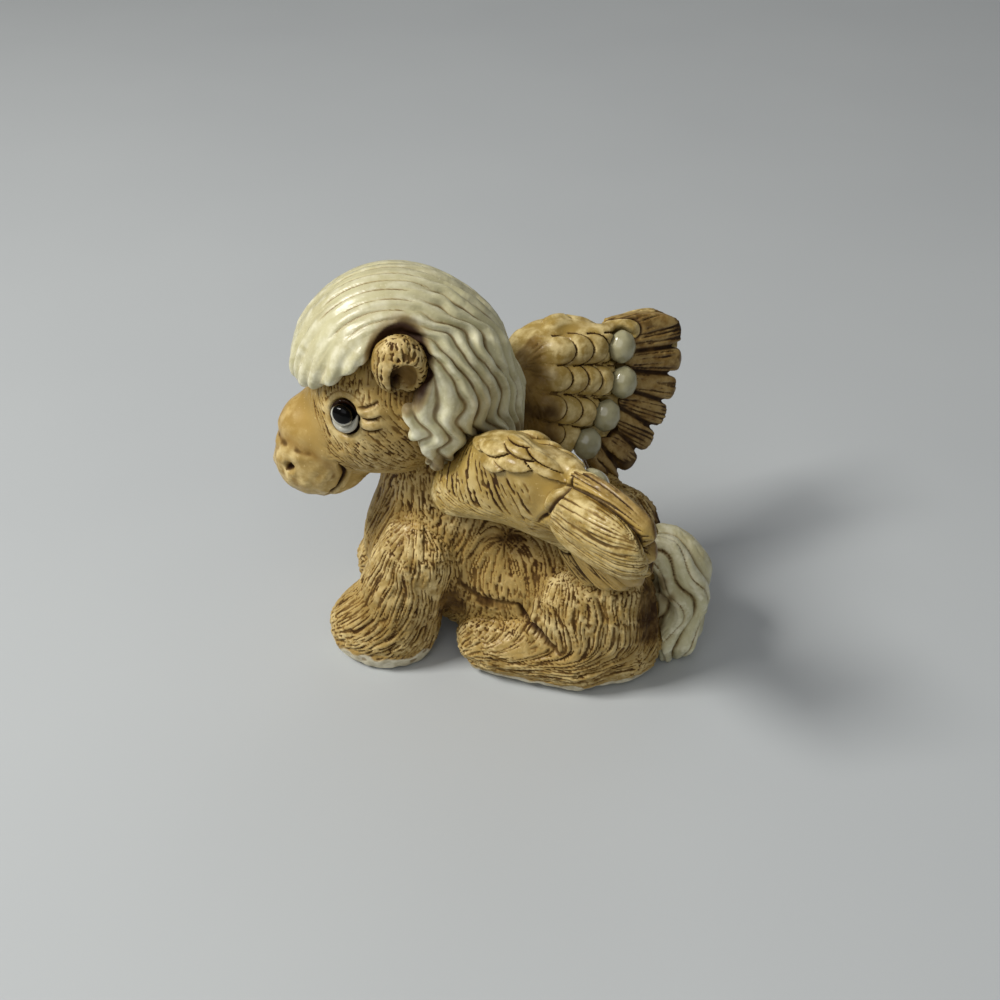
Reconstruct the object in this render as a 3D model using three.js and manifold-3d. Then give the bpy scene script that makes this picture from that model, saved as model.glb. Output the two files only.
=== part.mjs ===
// A small cast and hand-finished winged foal, lying with its head turned to its left.
// Millimetres, +Z up. The foal faces -X, its left side is -Y, and it rests on the plane z = 0.
import * as THREE from "three";
import { mergeVertices } from "three/addons/utils/BufferGeometryUtils.js";
import Module from "manifold-3d";

const wasm = await Module();
wasm.setup();

const V = (x, y, z) => new THREE.Vector3(x, y, z);
const mm = (...size) => V(...size);
const X = V(1, 0, 0);
const Y = V(0, 1, 0);
const Z = V(0, 0, 1);
const degrees = THREE.MathUtils.degToRad;

// Fit of the pieces to each other
const SEAM = 0.3; // clearance all round between two pieces that are glued together
const PEG_RADIUS = 1.6; // round locating pegs under the head, wings and tail
const PEG_DEPTH = 3.5; // how far a peg goes into the body
const PEG_SIDES = 10;
const SOLE_LEVEL = 0; // height of the flat soles

// Main sizes
const BODY_LENGTH = 17; // from the middle of the chest to the middle of the rump
const HEAD_HEIGHT = 33.2; // of the middle of the skull above the table
const CHEST_X = -5.4;
const RUMP_X = CHEST_X + BODY_LENGTH;
const BELLY_X = CHEST_X + BODY_LENGTH / 2;

// Body masses: where each one's middle is, and its radius or radii
const CHEST = { at: mm(CHEST_X, 0, 13), radius: 6.9 };
const BELLY = { at: mm(BELLY_X, 0, 10.6), radius: 8.2 };
const RUMP = { at: mm(RUMP_X, 0, 11.8), radius: 8.9 };
const BREAST = { at: mm(CHEST_X - 2.6, 0, 10.8), radius: 4.6 };
const KEEL = { at: mm(BELLY_X, 0, 6), radii: mm(0.59 * BODY_LENGTH, 4.4, 7) };
const NECK = { from: mm(-4, 0, 17), to: mm(-5, -1.4, HEAD_HEIGHT - 5.7), base: 6.7, top: 5.2 };
const WITHERS = { at: mm(1, 0, 18.6), radius: 6 };
const BODY_BLEND = 3.5; // how softly the body masses run into each other

// Head: its frame has its origin in the skull, faces -X and is turned to the foal's left
const HEAD_AT = mm(-8.3, -2.6, HEAD_HEIGHT);
const HEAD_TURN = 14; // degrees to the left
const SKULL_RADII = mm(8.3, 7.9, 8.6);
const CHEEK = { at: mm(-0.9, 0, -3.4), radii: mm(6.2, 6.9, 5.2) };
const SNOUT = { from: mm(-3.2, 0, -3.6), to: mm(-7, 0, -6.2), base: 5.4, top: 4.2 };
const NOSE_BRIDGE = { at: mm(-8.7, 0, -4.3), radius: 3.4 };
const MUZZLE = { at: mm(-8.3, 0, -8), radius: 4.6 };
const CHIN = { at: mm(-6.4, 0, -9.9), radii: mm(3.4, 3.4, 2.6) };
const HEAD_BLEND = 1.7;
const MUZZLE_BLEND = 0.9;
const MOUTH = { at: mm(-4.6, 0, -6.2), slope: 62, turn: 94, groove: 0.42 }; // slope and turn in degrees
const MOUTH_STEPS = 10;
const MOUTH_SIDES = 4;
const NOSTRIL = { aim: mm(-0.84, 0.36, -0.46), radii: mm(0.8, 1, 0.55) };

// Eyes: an oval ball set into a socket, with a dark dome let into its upper front
const EYE = { aim: mm(-0.32, 0.88, 0.395), radii: mm(1.5, 1.1, 1.95), proud: 0.5 };
const IRIS = { back: 0.3, up: 0.55, radii: mm(1.15, 0.75, 1.2), proud: 0.42 };

// Ears stand in a notch of the mane
const EAR = { at: mm(1, 7.2, 6.5), radii: mm(2.75, 2.1, 3.5), lean: 8 };
const EAR_NOTCH = { out: 4.4, depth: 5, margin: 0.35 }; // the dip in the mane that shows the ear
const EAR_HOLLOW = { at: mm(0.3, 2, -0.9), radii: mm(1.1, 1.6, 2.6) };

// Mane: a cap of hair over the skull and down the back of the neck, combed in bands round the ears
const MANE_MIDDLE = mm(1.4, 0, 5.4);
const MANE_CAP_RADII = mm(10, 9.5, 10.5);
const MANE_CAP_AT = mm(0.4, 0, 2.5);
const MANE_FRINGE = { at: mm(-4.4, 0, 3.4), radii: mm(4.6, 6, 5.4) };
const MANE_NECK = { from: mm(4.8, 0, 1.8), to: mm(8, 0.8, -3.2), base: 7.8, top: 6 };
const MANE_LOCK = { from: mm(4.5, 6, -0.5), to: mm(3.6, 6.2, -5), base: 3.2, top: 1.8 };
const MANE_BLEND = 2.4;
const MANE_BANDS = 7; // combed bands from the ear to the crown on each side
const MANE_BAND_HEIGHT = 0.85;
const MANE_LOCK_SMOOTHING = 0.85; // how much lower the bands are where the hair hangs down
const MANE_WAVES = 5; // waves along a band over the neck
const MANE_WAVE_SWAY = 2.2; // degrees
const MANE_COLUMNS = 25;

// Legs of the foal's right side; the left ones mirror them
const FORELEG = { shoulder: mm(-5, 4.6, 15), ankle: mm(-8.4, 5.2, 6), top: 5.6, low: 4.9 };
const FOREFOOT = { at: mm(-10, 5.9, 3.2), radii: mm(6.4, 4.9, 5.2) };
const FORE_HOOF_HEIGHT = 2.6;
const THIGH = { at: mm(RUMP_X + 1.6, 5.7, 9.8), radii: mm(8.2, 5.3, 8.4) };
const SHIN = { from: mm(RUMP_X + 0.8, 6.8, 3.6), to: mm(RUMP_X - 9, 6.2, 4), base: 4.4, top: 4.4 };
const HOCK = { at: mm(RUMP_X + 5.6, 4.8, 3.8), radii: mm(4.4, 4.4, 4.4) };
const HIND_HOOF_HEIGHT = 2;
const LEG_BLEND = 1.6;

// Tail: a lock of wavy strands from the rump to the table
const TAIL_LINE = [
  mm(RUMP_X + 6, 0, 13.4),
  mm(RUMP_X + 8.8, 0, 13.2),
  mm(RUMP_X + 11, 0.1, 10.4),
  mm(RUMP_X + 10.5, -0.2, 6.8),
  mm(RUMP_X + 10.7, -0.6, 3),
  mm(RUMP_X + 9.8, -1, 0),
];
const TAIL_RADII = [1.9, 2.9, 3.3, 3.4, 3.1, 1.6];
const TAIL_WIDTH = 1.25; // across, as a share of its depth
const TAIL_STRANDS = 6;
const TAIL_STRAND_HEIGHT = 0.5;
const TAIL_TWIST = 100; // how far the strands swing to and fro, in degrees of one strand
const TAIL_SWINGS = 2.2;
const TAIL_STEPS = 15;
const TAIL_SIDES = 18;

// Right wing: its frame has its origin at the hub of the feather fan, X back along the wing's
// top edge, Y out of its outer face and Z up its chord
const WING_HUB = mm(5, 8.6, 31);
const WING_FLARE = 36.9; // degrees that the top edge runs outwards
const WING_LEAN = 18; // degrees that the wing leans outwards
const WING_WEB = { at: mm(4, 0, -4.8), radii: mm(7.6, 1.5, 8.2) };
const WING_SHOULDER = { at: mm(1.8, 1.6, -2.9), radii: mm(6.5, 2.8, 6.3) };
const WING_ROOT = { from: mm(-6.6, 3.8, -6.4), to: mm(-2, 2, -4), base: 3.4, top: 4 };
const WING_RIM = { from: mm(4.6, -0.3, 1.3), to: mm(11.4, -1, 0.9), base: 1.5, top: 1.2 }; // rolled top edge
const WING_RIM_MIDDLE = mm(8, -0.6, 1);
const WING_BLEND = 2;
const PRIMARIES = 7;
const PRIMARY_FIRST = -2; // degrees above the top edge's direction
const PRIMARY_PITCH = 10.8; // degrees from one primary to the next
const PRIMARY_ROOT = 9; // distance from the hub
const PRIMARY_TIP = 17.7;
const PRIMARY_TIP_LOSS = 0.06; // each lower primary is shorter by this much
const PRIMARY_CREST = 2.2; // how far the first primary's root rises above its share of the fan
const PRIMARY_THICKNESS = 2.2;
const PRIMARY_ROUNDING = 0.35; // how much narrower a primary is at its tip
const PRIMARY_POINT = 0.8; // how far its rounded end stands out from its last section
const PRIMARY_STEPS = 4;
const PRIMARY_BOX = 0.35; // how square the feather is in section, 1 for an oval
const PRIMARY_SIDES = 8;
const COVERTS = { at: mm(12.2, 1.4, -2.2), radii: mm(6.9, 2.6, 4.5), dip: -6, squareness: 2.7 };

// Inner face of the wing: rows of small scale feathers, each row ending in a glazed pearl feather.
// Places are distances from the hub along the top edge and up the chord.
const ROWS = [
  { first: [1.8, 0.9], pearl: [9.7, -0.5], scales: 4 },
  { first: [0.8, -1.8], pearl: [9.4, -4.5], scales: 5 },
  { first: [-0.4, -4.8], pearl: [6.8, -7.7], scales: 4 },
  { first: [-0.6, -7.8], pearl: [4, -10.3], scales: 2 },
];
const PEARL_RADII = mm(1.75, 1.4, 2);
const PEARL_STANDOFF = 0.35; // from the primaries' inner face to a pearl's middle
const SCALE_RADII = mm(1.75, 0.85, 1.75);
const SCALE_TILT = 16; // degrees that a scale's free edge lifts

// Small leaf feathers over the top of the outer face, each as its distance along the top edge and how
// far round it lies, from 0 degrees on the outer face to 90 on the edge
const LEAF_PLACES = [
  [-0.6, 50],
  [1.3, 54],
  [1.7, 34],
  [3.2, 84],
  [3.8, 48],
  [3.9, 70],
  [5.9, 80],
  [6.6, 62],
];
const LEAF_RADII = mm(1.9, 0.45, 0.9);
const LEAF_DIP = 4; // degrees

// Colours of the finished casting
const coat = new THREE.MeshStandardMaterial({ color: 0xb08f55, roughness: 0.55 });
const feather = new THREE.MeshStandardMaterial({ color: 0xa68a4e, roughness: 0.5 });
const cream = new THREE.MeshStandardMaterial({ color: 0xd9d3b8, roughness: 0.35 });
const hoofCream = new THREE.MeshStandardMaterial({ color: 0xcfc6b0, roughness: 0.5 });
const pearlGlaze = new THREE.MeshStandardMaterial({ color: 0xd8d2ae, roughness: 0.15 });
const eyeWhite = new THREE.MeshStandardMaterial({ color: 0xd8d6cc, roughness: 0.12 });
const eyeBlack = new THREE.MeshStandardMaterial({ color: 0x0b0a0a, roughness: 0.05 });

// Fields: each gives the distance of a point from a mass's surface, negative inside
const ball = ({ at, radius }) => (p) => p.distanceTo(at) - radius;

function egg({ at, radii }) {
  return (p) => {
    const q = p.clone().sub(at).divide(radii);
    const slope = q.clone().divide(radii).length();
    return slope < 1e-9 ? -Math.min(radii.x, radii.y, radii.z) : (q.length() * (q.length() - 1)) / slope;
  };
}

function taper({ from, to, base, top }) {
  const along = to.clone().sub(from);
  return (p) => {
    const share = THREE.MathUtils.clamp(p.clone().sub(from).dot(along) / along.lengthSq(), 0, 1);
    return p.distanceTo(from.clone().addScaledVector(along, share)) - THREE.MathUtils.lerp(base, top, share);
  };
}

function blend(softness, ...fields) {
  return (p) =>
    fields.map((field) => field(p)).reduce((a, b) => {
      const near = Math.max(softness - Math.abs(a - b), 0) / softness;
      return Math.min(a, b) - (near * near * softness) / 4;
    });
}

const mirrored = (place) => V(place.x, -place.y, place.z);

// How far from a middle the surface of a field lies in a direction, coming in from outside
function reachOf(field, middle, direction, grow = 0) {
  const farthest = 40;
  const step = 0.4;
  const at = (distance) => field(middle.clone().addScaledVector(direction, distance)) - grow;
  let outside = farthest;
  while (outside > step && at(outside - step) > 0) outside -= step;
  let inside = Math.max(outside - step, 0);
  for (let halving = 0; halving < 18; halving++) {
    const half = (inside + outside) / 2;
    if (at(half) > 0) outside = half;
    else inside = half;
  }
  return inside;
}

const surfacePoint = (field, middle, direction, out = 0) =>
  middle.clone().addScaledVector(direction, reachOf(field, middle, direction) + out);

function normalAt(field, p) {
  const step = 0.05;
  const slope = (axis) =>
    field(p.clone().addScaledVector(axis, step)) - field(p.clone().addScaledVector(axis, -step));
  return V(slope(X), slope(Y), slope(Z)).normalize();
}

// The frame of something seated on a surface: Y out of it, X as near as can be to a direction
function seatAt(field, point, along) {
  const out = normalAt(field, point);
  const across = along.clone().addScaledVector(out, -along.dot(out)).normalize();
  return new THREE.Matrix4().makeBasis(across, out, across.clone().cross(out)).setPosition(point);
}

// Solids
function solidOf(geometry) {
  const bare = geometry.clone();
  bare.deleteAttribute("normal");
  bare.deleteAttribute("uv");
  const merged = mergeVertices(bare, 1e-4);
  const vertProperties = merged.attributes.position.array;
  const triVerts = new Uint32Array(merged.index.array);
  return new wasm.Manifold(new wasm.Mesh({ numProp: 3, vertProperties, triVerts }));
}

function geometryOf(solid) {
  const { vertProperties, triVerts } = solid.getMesh();
  const geometry = new THREE.BufferGeometry();
  geometry.setAttribute("position", new THREE.BufferAttribute(vertProperties, 3));
  geometry.setIndex(new THREE.BufferAttribute(triVerts, 1));
  geometry.computeVertexNormals();
  return geometry;
}

// A geodesic ball drawn in or out until it lies on the surface of a field
function wrap(field, middle, detail, grow = 0) {
  const geometry = new THREE.IcosahedronGeometry(1, detail);
  const place = geometry.attributes.position;
  const known = new Map();
  for (let i = 0; i < place.count; i++) {
    const direction = V(place.getX(i), place.getY(i), place.getZ(i)).normalize();
    const key = direction.toArray().map((n) => Math.round(n * 1e5)).join();
    if (!known.has(key)) known.set(key, surfacePoint((p) => field(p) - grow, middle, direction));
    place.setXYZ(i, ...known.get(key).toArray());
  }
  return solidOf(geometry);
}

// A closed skin over rings of points, whose ends close on two poles
function skinOver(rings, firstPole, lastPole) {
  const sides = rings[0].length;
  const points = [firstPole, ...rings.flat(), lastPole];
  const faces = [];
  const last = points.length - 1;
  for (let k = 0; k < sides; k++) {
    const next = (k + 1) % sides;
    faces.push(0, 1 + next, 1 + k);
    for (let ring = 0; ring < rings.length - 1; ring++) {
      const a = 1 + ring * sides;
      const b = a + sides;
      faces.push(a + k, a + next, b + k, a + next, b + next, b + k);
    }
    faces.push(last - sides + k, last - sides + next, last);
  }
  const geometry = new THREE.BufferGeometry().setFromPoints(points);
  geometry.setIndex(faces);
  const solid = solidOf(geometry);
  return solid.volume() < 0 ? solidOf(geometry.setIndex(faces.reverse())) : solid;
}

const ORIGIN = mm(0, 0, 0);

const ellipsoid = ({ at, radii }, grow = 0, across = 10, down = 8) =>
  solidOf(
    new THREE.SphereGeometry(1, across, down)
      .scale(radii.x + grow, radii.y + grow, radii.z + grow)
      .translate(at.x, at.y, at.z),
  );

const matrixOf = (at, ...turns) => {
  const matrix = new THREE.Matrix4().makeTranslation(at);
  for (const [axis, angle] of turns) {
    matrix.multiply(new THREE.Matrix4().makeRotationAxis(axis, degrees(angle)));
  }
  return matrix;
};

const moved = (solid, matrix) => solid.transform(matrix.toArray());
const joined = (solids) => solids.reduce((a, b) => a.add(b));
const without = (solid, cutters) => cutters.reduce((left, cutter) => left.subtract(cutter), solid);

// The largest body of a solid, so that a cut leaves no loose chips
function mainBody(solid) {
  return solid.decompose().sort((a, b) => b.volume() - a.volume())[0];
}

function peg(from, towards, length, grow = 0) {
  const direction = towards.clone().normalize();
  const rod = new THREE.CylinderGeometry(PEG_RADIUS + grow, PEG_RADIUS + grow, length + grow, PEG_SIDES);
  rod.translate(0, (length + grow) / 2, 0);
  const turn = new THREE.Quaternion().setFromUnitVectors(Y, direction);
  rod.applyQuaternion(turn);
  rod.translate(from.x, from.y, from.z);
  return solidOf(rod);
}

const WIDE = 200; // wider than the foal on every side

const slab = (low, high) =>
  solidOf(new THREE.BoxGeometry(WIDE, WIDE, high - low).translate(0, 0, (low + high) / 2));

// Everything whose Y is less than a limit
const sideBelow = (limit) =>
  solidOf(new THREE.BoxGeometry(WIDE, WIDE, WIDE).translate(0, limit - WIDE / 2, 0));

const standingOn = (level, solid) => solid.subtract(slab(level - WIDE, level));

// A closed round rod along a row of points
function rodAlong(points, radius, sides) {
  const rings = points.map((at, index) => {
    const before = points[Math.max(index - 1, 0)];
    const after = points[Math.min(index + 1, points.length - 1)];
    const along = after.clone().sub(before).normalize();
    const side = (Math.abs(along.z) < 0.8 ? Z : X).clone().cross(along).normalize();
    const front = along.clone().cross(side);
    return [...Array(sides).keys()].map((k) => {
      const round = (2 * Math.PI * k) / sides;
      return at.clone()
        .addScaledVector(side, radius * Math.cos(round))
        .addScaledVector(front, radius * Math.sin(round));
    });
  });
  return skinOver(rings, points[0], points[points.length - 1]);
}

const mirrorY = new THREE.Matrix4().makeScale(1, -1, 1);
const bothSides = (solid) => [solid, moved(solid, mirrorY)];

// Body
const bodyMiddle = mm(-1, 0, 13);
const bodyField = blend(
  BODY_BLEND,
  ball(CHEST),
  ball(BREAST),
  ball(BELLY),
  egg(KEEL),
  ball(RUMP),
  ball(WITHERS),
  taper(NECK),
);
const BODY_DETAIL = 4;
const bodySolid = (grow = 0) => standingOn(SOLE_LEVEL - grow, wrap(bodyField, bodyMiddle, BODY_DETAIL, grow));
const bodyClearance = bothSides(bodySolid(SEAM));

// Head, in its own frame
const headMatrix = matrixOf(HEAD_AT, [Z, HEAD_TURN]);
const headMiddle = mm(-2.5, 0, -2.5);
const faceField = blend(
  HEAD_BLEND,
  egg({ at: mm(0, 0, 0), radii: SKULL_RADII }),
  egg(CHEEK),
  taper(SNOUT),
  ball(NOSE_BRIDGE),
  egg(CHIN),
);
const headField = blend(MUZZLE_BLEND, faceField, ball(MUZZLE));
const HEAD_DETAIL = 4;
const headSolid = (grow = 0) => wrap(headField, headMiddle, HEAD_DETAIL, grow);

const aimedAtHead = (aim) => surfacePoint(headField, headMiddle, aim.clone().normalize());
const seatOnHead = (aim) => seatAt(headField, aimedAtHead(aim), X);

// The eyeball's frame, with Y out of the face
const eyeMiddle = mm(0, EYE.proud - EYE.radii.y, 0);
const eyeSeat = seatOnHead(EYE.aim);
const eyeball = (grow = 0) => moved(ellipsoid({ at: eyeMiddle, radii: EYE.radii }, grow), eyeSeat);
const irisMiddle = mm(IRIS.back, EYE.proud + IRIS.proud - IRIS.radii.y, IRIS.up);
const iris = (grow = 0) => moved(ellipsoid({ at: irisMiddle, radii: IRIS.radii }, grow, 10, 6), eyeSeat);

const earMatrix = matrixOf(EAR.at, [X, -EAR.lean]);
const earShape = (grow = 0) => moved(ellipsoid({ at: ORIGIN, radii: EAR.radii }, grow), earMatrix);
const earHollow = moved(ellipsoid(EAR_HOLLOW, 0, 10, 6), earMatrix);
const notchRadii = mm(EAR.radii.x + EAR_NOTCH.margin, EAR_NOTCH.depth, EAR.radii.z + EAR_NOTCH.margin);
const earNotch = moved(ellipsoid({ at: mm(0, EAR_NOTCH.out, 0), radii: notchRadii }, 0, 12, 6), earMatrix);

// The line of the mouth, a groove that follows the muzzle from one side to the other
function mouthGroove() {
  const forwards = V(-Math.cos(degrees(MOUTH.slope)), 0, -Math.sin(degrees(MOUTH.slope)));
  const points = [];
  for (let step = 0; step <= MOUTH_STEPS; step++) {
    const turn = degrees(MOUTH.turn) * ((2 * step) / MOUTH_STEPS - 1);
    const direction = forwards.clone().multiplyScalar(Math.cos(turn)).addScaledVector(Y, Math.sin(turn));
    points.push(surfacePoint(headField, MOUTH.at, direction));
  }
  return rodAlong(points, MOUTH.groove, MOUTH_SIDES);
}

const nostril = moved(ellipsoid({ at: ORIGIN, radii: NOSTRIL.radii }, 0, 8, 6), seatOnHead(NOSTRIL.aim));

const toHead = headMatrix.clone().invert();
const downNeck = NECK.from.clone().applyMatrix4(toHead).normalize();
const headPegLength = reachOf(headField, ORIGIN, downNeck) + PEG_DEPTH;
const headPeg = (grow = 0) => peg(ORIGIN, downNeck, headPegLength, grow);

const head = mainBody(
  without(headSolid().add(headPeg()), [
    ...bothSides(eyeball(SEAM)),
    ...bothSides(iris(SEAM)),
    ...bothSides(nostril),
    mouthGroove(),
  ]),
);

// Right legs, in the body's frame
const legField = blend(
  LEG_BLEND,
  taper({ from: FORELEG.shoulder, to: FORELEG.ankle, base: FORELEG.top, top: FORELEG.low }),
  egg(FOREFOOT),
);
const hindField = blend(LEG_BLEND, egg(THIGH), taper(SHIN), egg(HOCK));
const foreMiddle = mm(-8.4, 5.6, 6.6);
const hindMiddle = mm(10, 6, 5.4);
const LEG_DETAIL = 3;
const foreWrap = (grow = 0) => standingOn(SOLE_LEVEL - grow, wrap(legField, foreMiddle, LEG_DETAIL, grow));
const hindWrap = (grow = 0) => standingOn(SOLE_LEVEL - grow, wrap(hindField, hindMiddle, LEG_DETAIL, grow));
const leftHalf = sideBelow(SEAM / 2);

const rightForeleg = without(foreWrap(), [...bodyClearance, leftHalf]);
const rightHindLeg = without(hindWrap(), [...bodyClearance, leftHalf, foreWrap(SEAM)]);
const hoofOf = (leg, height) => mainBody(leg.subtract(slab(height, height + WIDE)));
const legAbove = (leg, height) => mainBody(standingOn(height + SEAM, leg));

// Mane
const maneField = blend(
  MANE_BLEND,
  egg({ at: MANE_CAP_AT, radii: MANE_CAP_RADII }),
  egg(MANE_FRINGE),
  taper(MANE_NECK),
  taper(MANE_LOCK),
  taper({ ...MANE_LOCK, from: mirrored(MANE_LOCK.from), to: mirrored(MANE_LOCK.to) }),
);

// Rings run round the ear-to-ear axis, one on the crest and one in the valley of each band
function maneSolid() {
  const rings = [];
  const bands = 2 * MANE_BANDS;
  for (let row = 1; row < 2 * bands; row++) {
    const latitude = -90 + (180 * row) / (2 * bands);
    const crest = row % 2 === 0 ? 0 : 1;
    const ring = [];
    for (let column = 0; column < MANE_COLUMNS; column++) {
      const round = (360 * column) / MANE_COLUMNS;
      const overNeck = Math.max(0, Math.cos(degrees(round + 40)));
      const sway = MANE_WAVE_SWAY * Math.sin(degrees(round * MANE_WAVES)) * (0.3 + overNeck);
      const up = degrees(THREE.MathUtils.clamp(latitude + sway * Math.cos(degrees(latitude)), -89, 89));
      const level = Math.cos(up);
      const direction = V(level * Math.cos(degrees(round)), Math.sin(up), level * Math.sin(degrees(round)));
      const hanging = Math.max(0, -Math.sin(degrees(round)));
      const height = MANE_BAND_HEIGHT * (1 - MANE_LOCK_SMOOTHING * hanging);
      const out = crest * height * Math.cos(degrees(latitude)) ** 0.5 - height / 2;
      ring.push(surfacePoint(maneField, MANE_MIDDLE, direction, out));
    }
    rings.push(ring);
  }
  const pole = (side) => surfacePoint(maneField, MANE_MIDDLE, V(0, side, 0));
  return skinOver(rings, pole(-1), pole(1));
}

// The side outline that the mane keeps: fringe over the brow, notch for the ear, lock beside the neck
function maneOutline() {
  const shape = new THREE.Shape();
  shape.moveTo(-14, 1.2);
  shape.lineTo(-9.4, 2);
  shape.quadraticCurveTo(-6, 3.4, -2.4, 6.6);
  shape.lineTo(1, 6.4);
  shape.lineTo(1, 3);
  shape.quadraticCurveTo(1, -1, 2.8, -3.4);
  shape.lineTo(3, -12);
  shape.lineTo(18, -12);
  shape.lineTo(20, 20);
  shape.lineTo(-14, 20);
  shape.closePath();
  const across = 40;
  const cut = new THREE.ExtrudeGeometry(shape, { depth: across, bevelEnabled: false, curveSegments: 5 });
  return solidOf(cut.translate(0, 0, -across / 2).rotateX(Math.PI / 2));
}

const ear = mainBody(without(earShape(), [headSolid(SEAM), earHollow]));

// Right wing, in its own frame
const wingMatrix = matrixOf(WING_HUB, [Z, WING_FLARE], [X, -WING_LEAN]);
const toWing = wingMatrix.clone().invert();
const restInWing = joined([
  ...bodyClearance,
  ...bothSides(moved(headSolid(SEAM), headMatrix)),
  foreWrap(SEAM),
  hindWrap(SEAM),
]).transform(toWing.toArray());
const wingMiddle = mm(0, 0.6, -3);
const armField = blend(WING_BLEND, egg(WING_WEB), egg(WING_SHOULDER), taper(WING_ROOT));
const WING_DETAIL = 3;
const rimSolid = (grow = 0) => wrap(taper(WING_RIM), WING_RIM_MIDDLE, WING_DETAIL, grow);
const armSolid = (grow = 0) => wrap(armField, wingMiddle, WING_DETAIL, grow).add(rimSolid(grow));

// A primary feather fills its share of the fan from its root to a round tip
function primary(index, grow = 0) {
  const tip = PRIMARY_TIP - index * PRIMARY_TIP_LOSS;
  const rings = [];
  for (let step = 0; step <= PRIMARY_STEPS; step++) {
    const share = step / PRIMARY_STEPS;
    const reach = THREE.MathUtils.lerp(PRIMARY_ROOT - grow, tip + grow, share ** 0.7);
    const nearTip = Math.sqrt(1 - PRIMARY_ROUNDING * share ** 8);
    const halfWidth = (reach * Math.tan(degrees(PRIMARY_PITCH / 2)) - SEAM / 2) * nearTip + grow;
    const halfThick = (PRIMARY_THICKNESS / 2) * nearTip + grow;
    const crest = index === 0 ? PRIMARY_CREST * (1 - share ** 1.5) : 0;
    const ring = [];
    for (let side = 0; side < PRIMARY_SIDES; side++) {
      const round = (2 * Math.PI * (side + 0.5)) / PRIMARY_SIDES;
      const squared = (share) => Math.sign(share) * Math.abs(share) ** PRIMARY_BOX;
      const wide = squared(Math.cos(round));
      const up = wide > 0 ? halfWidth + crest : halfWidth;
      ring.push(V(reach, halfThick * squared(Math.sin(round)), wide * up));
    }
    rings.push(ring);
  }
  const angle = degrees(PRIMARY_FIRST - index * PRIMARY_PITCH);
  const solid = skinOver(rings, V(PRIMARY_ROOT - grow, 0, 0), V(tip + PRIMARY_POINT + grow, 0, 0));
  return moved(solid, new THREE.Matrix4().makeRotationY(-angle));
}

const primaries = [...Array(PRIMARIES).keys()];

// The place on the arm's inner face
const innerFace = ([x, z]) => surfacePoint(armField, V(x, 0, z), V(0, -1, 0));

const rowDirection = ({ first, pearl }) => V(pearl[0] - first[0], 0, pearl[1] - first[1]).normalize();

function pearl(row, grow = 0) {
  const at = V(row.pearl[0], -PRIMARY_THICKNESS / 2 - PEARL_STANDOFF, row.pearl[1]);
  const along = rowDirection(row);
  const turn = new THREE.Matrix4().makeBasis(along, Y, along.clone().cross(Y)).setPosition(at);
  return moved(ellipsoid({ at: ORIGIN, radii: PEARL_RADII }, grow, 8, 6), turn);
}

// A low round dome, its free edge lifted, like a roof tile
function scale(row, index) {
  const share = index / row.scales;
  const place = [0, 1].map((k) => THREE.MathUtils.lerp(row.first[k], row.pearl[k], share));
  const seat = seatAt(armField, innerFace(place), rowDirection(row));
  const lift = seat.multiply(new THREE.Matrix4().makeRotationZ(degrees(SCALE_TILT)));
  return moved(ellipsoid({ at: ORIGIN, radii: SCALE_RADII }, 0, 7, 4), lift);
}

const scaleRow = (row) => joined([...Array(row.scales).keys()].map((index) => scale(row, index)));

const covertsMatrix = matrixOf(COVERTS.at, [Y, COVERTS.dip]);

// An egg with fuller corners, by how square it is: 2 for a plain egg
function cushion({ radii, squareness }, columns, rows) {
  const geometry = new THREE.SphereGeometry(1, columns, rows).rotateX(Math.PI / 2);
  const place = geometry.getAttribute("position");
  for (let index = 0; index < place.count; index++) {
    const p = V().fromBufferAttribute(place, index);
    const full = [p.x, p.y, p.z].reduce((sum, side) => sum + Math.abs(side) ** squareness, 0);
    p.multiplyScalar(full ** (-1 / squareness)).multiply(radii);
    place.setXYZ(index, p.x, p.y, p.z);
  }
  return solidOf(geometry);
}

const covertsSolid = moved(cushion(COVERTS, 14, 10), covertsMatrix);

const leafAlong = V(Math.cos(degrees(LEAF_DIP)), 0, -Math.sin(degrees(LEAF_DIP)));

function leaf([along, round]) {
  const out = V(0, Math.cos(degrees(round)), Math.sin(degrees(round)));
  const seat = seatAt(armField, surfacePoint(armField, V(along, 0, 0), out), leafAlong);
  return moved(ellipsoid({ at: ORIGIN, radii: LEAF_RADII }, 0, 5, 4), seat);
}

const wingPegFrom = WING_ROOT.from;
const wingPegTowards = CHEST.at.clone().applyMatrix4(toWing).sub(wingPegFrom);
const wingPeg = (grow = 0) => peg(wingPegFrom, wingPegTowards, WING_ROOT.base + PEG_DEPTH, grow);
const pearlPockets = ROWS.map((row) => pearl(row, SEAM));
const armRelief = joined([...ROWS.map(scaleRow), ...LEAF_PLACES.map(leaf)]);

const primariesFace = PRIMARY_THICKNESS / 2 + SEAM;
const primariesSide = sideBelow(primariesFace);

const wing = {
  arm: mainBody(without(armSolid().add(armRelief), [restInWing, ...pearlPockets]).add(wingPeg())),
  primaries: primaries.map((index) =>
    mainBody(without(primary(index), [armSolid(SEAM), restInWing, ...pearlPockets])),
  ),
  coverts: mainBody(without(covertsSolid, [armSolid(SEAM), restInWing, primariesSide])),
  pearls: ROWS.map((row) => pearl(row)),
};

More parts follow.
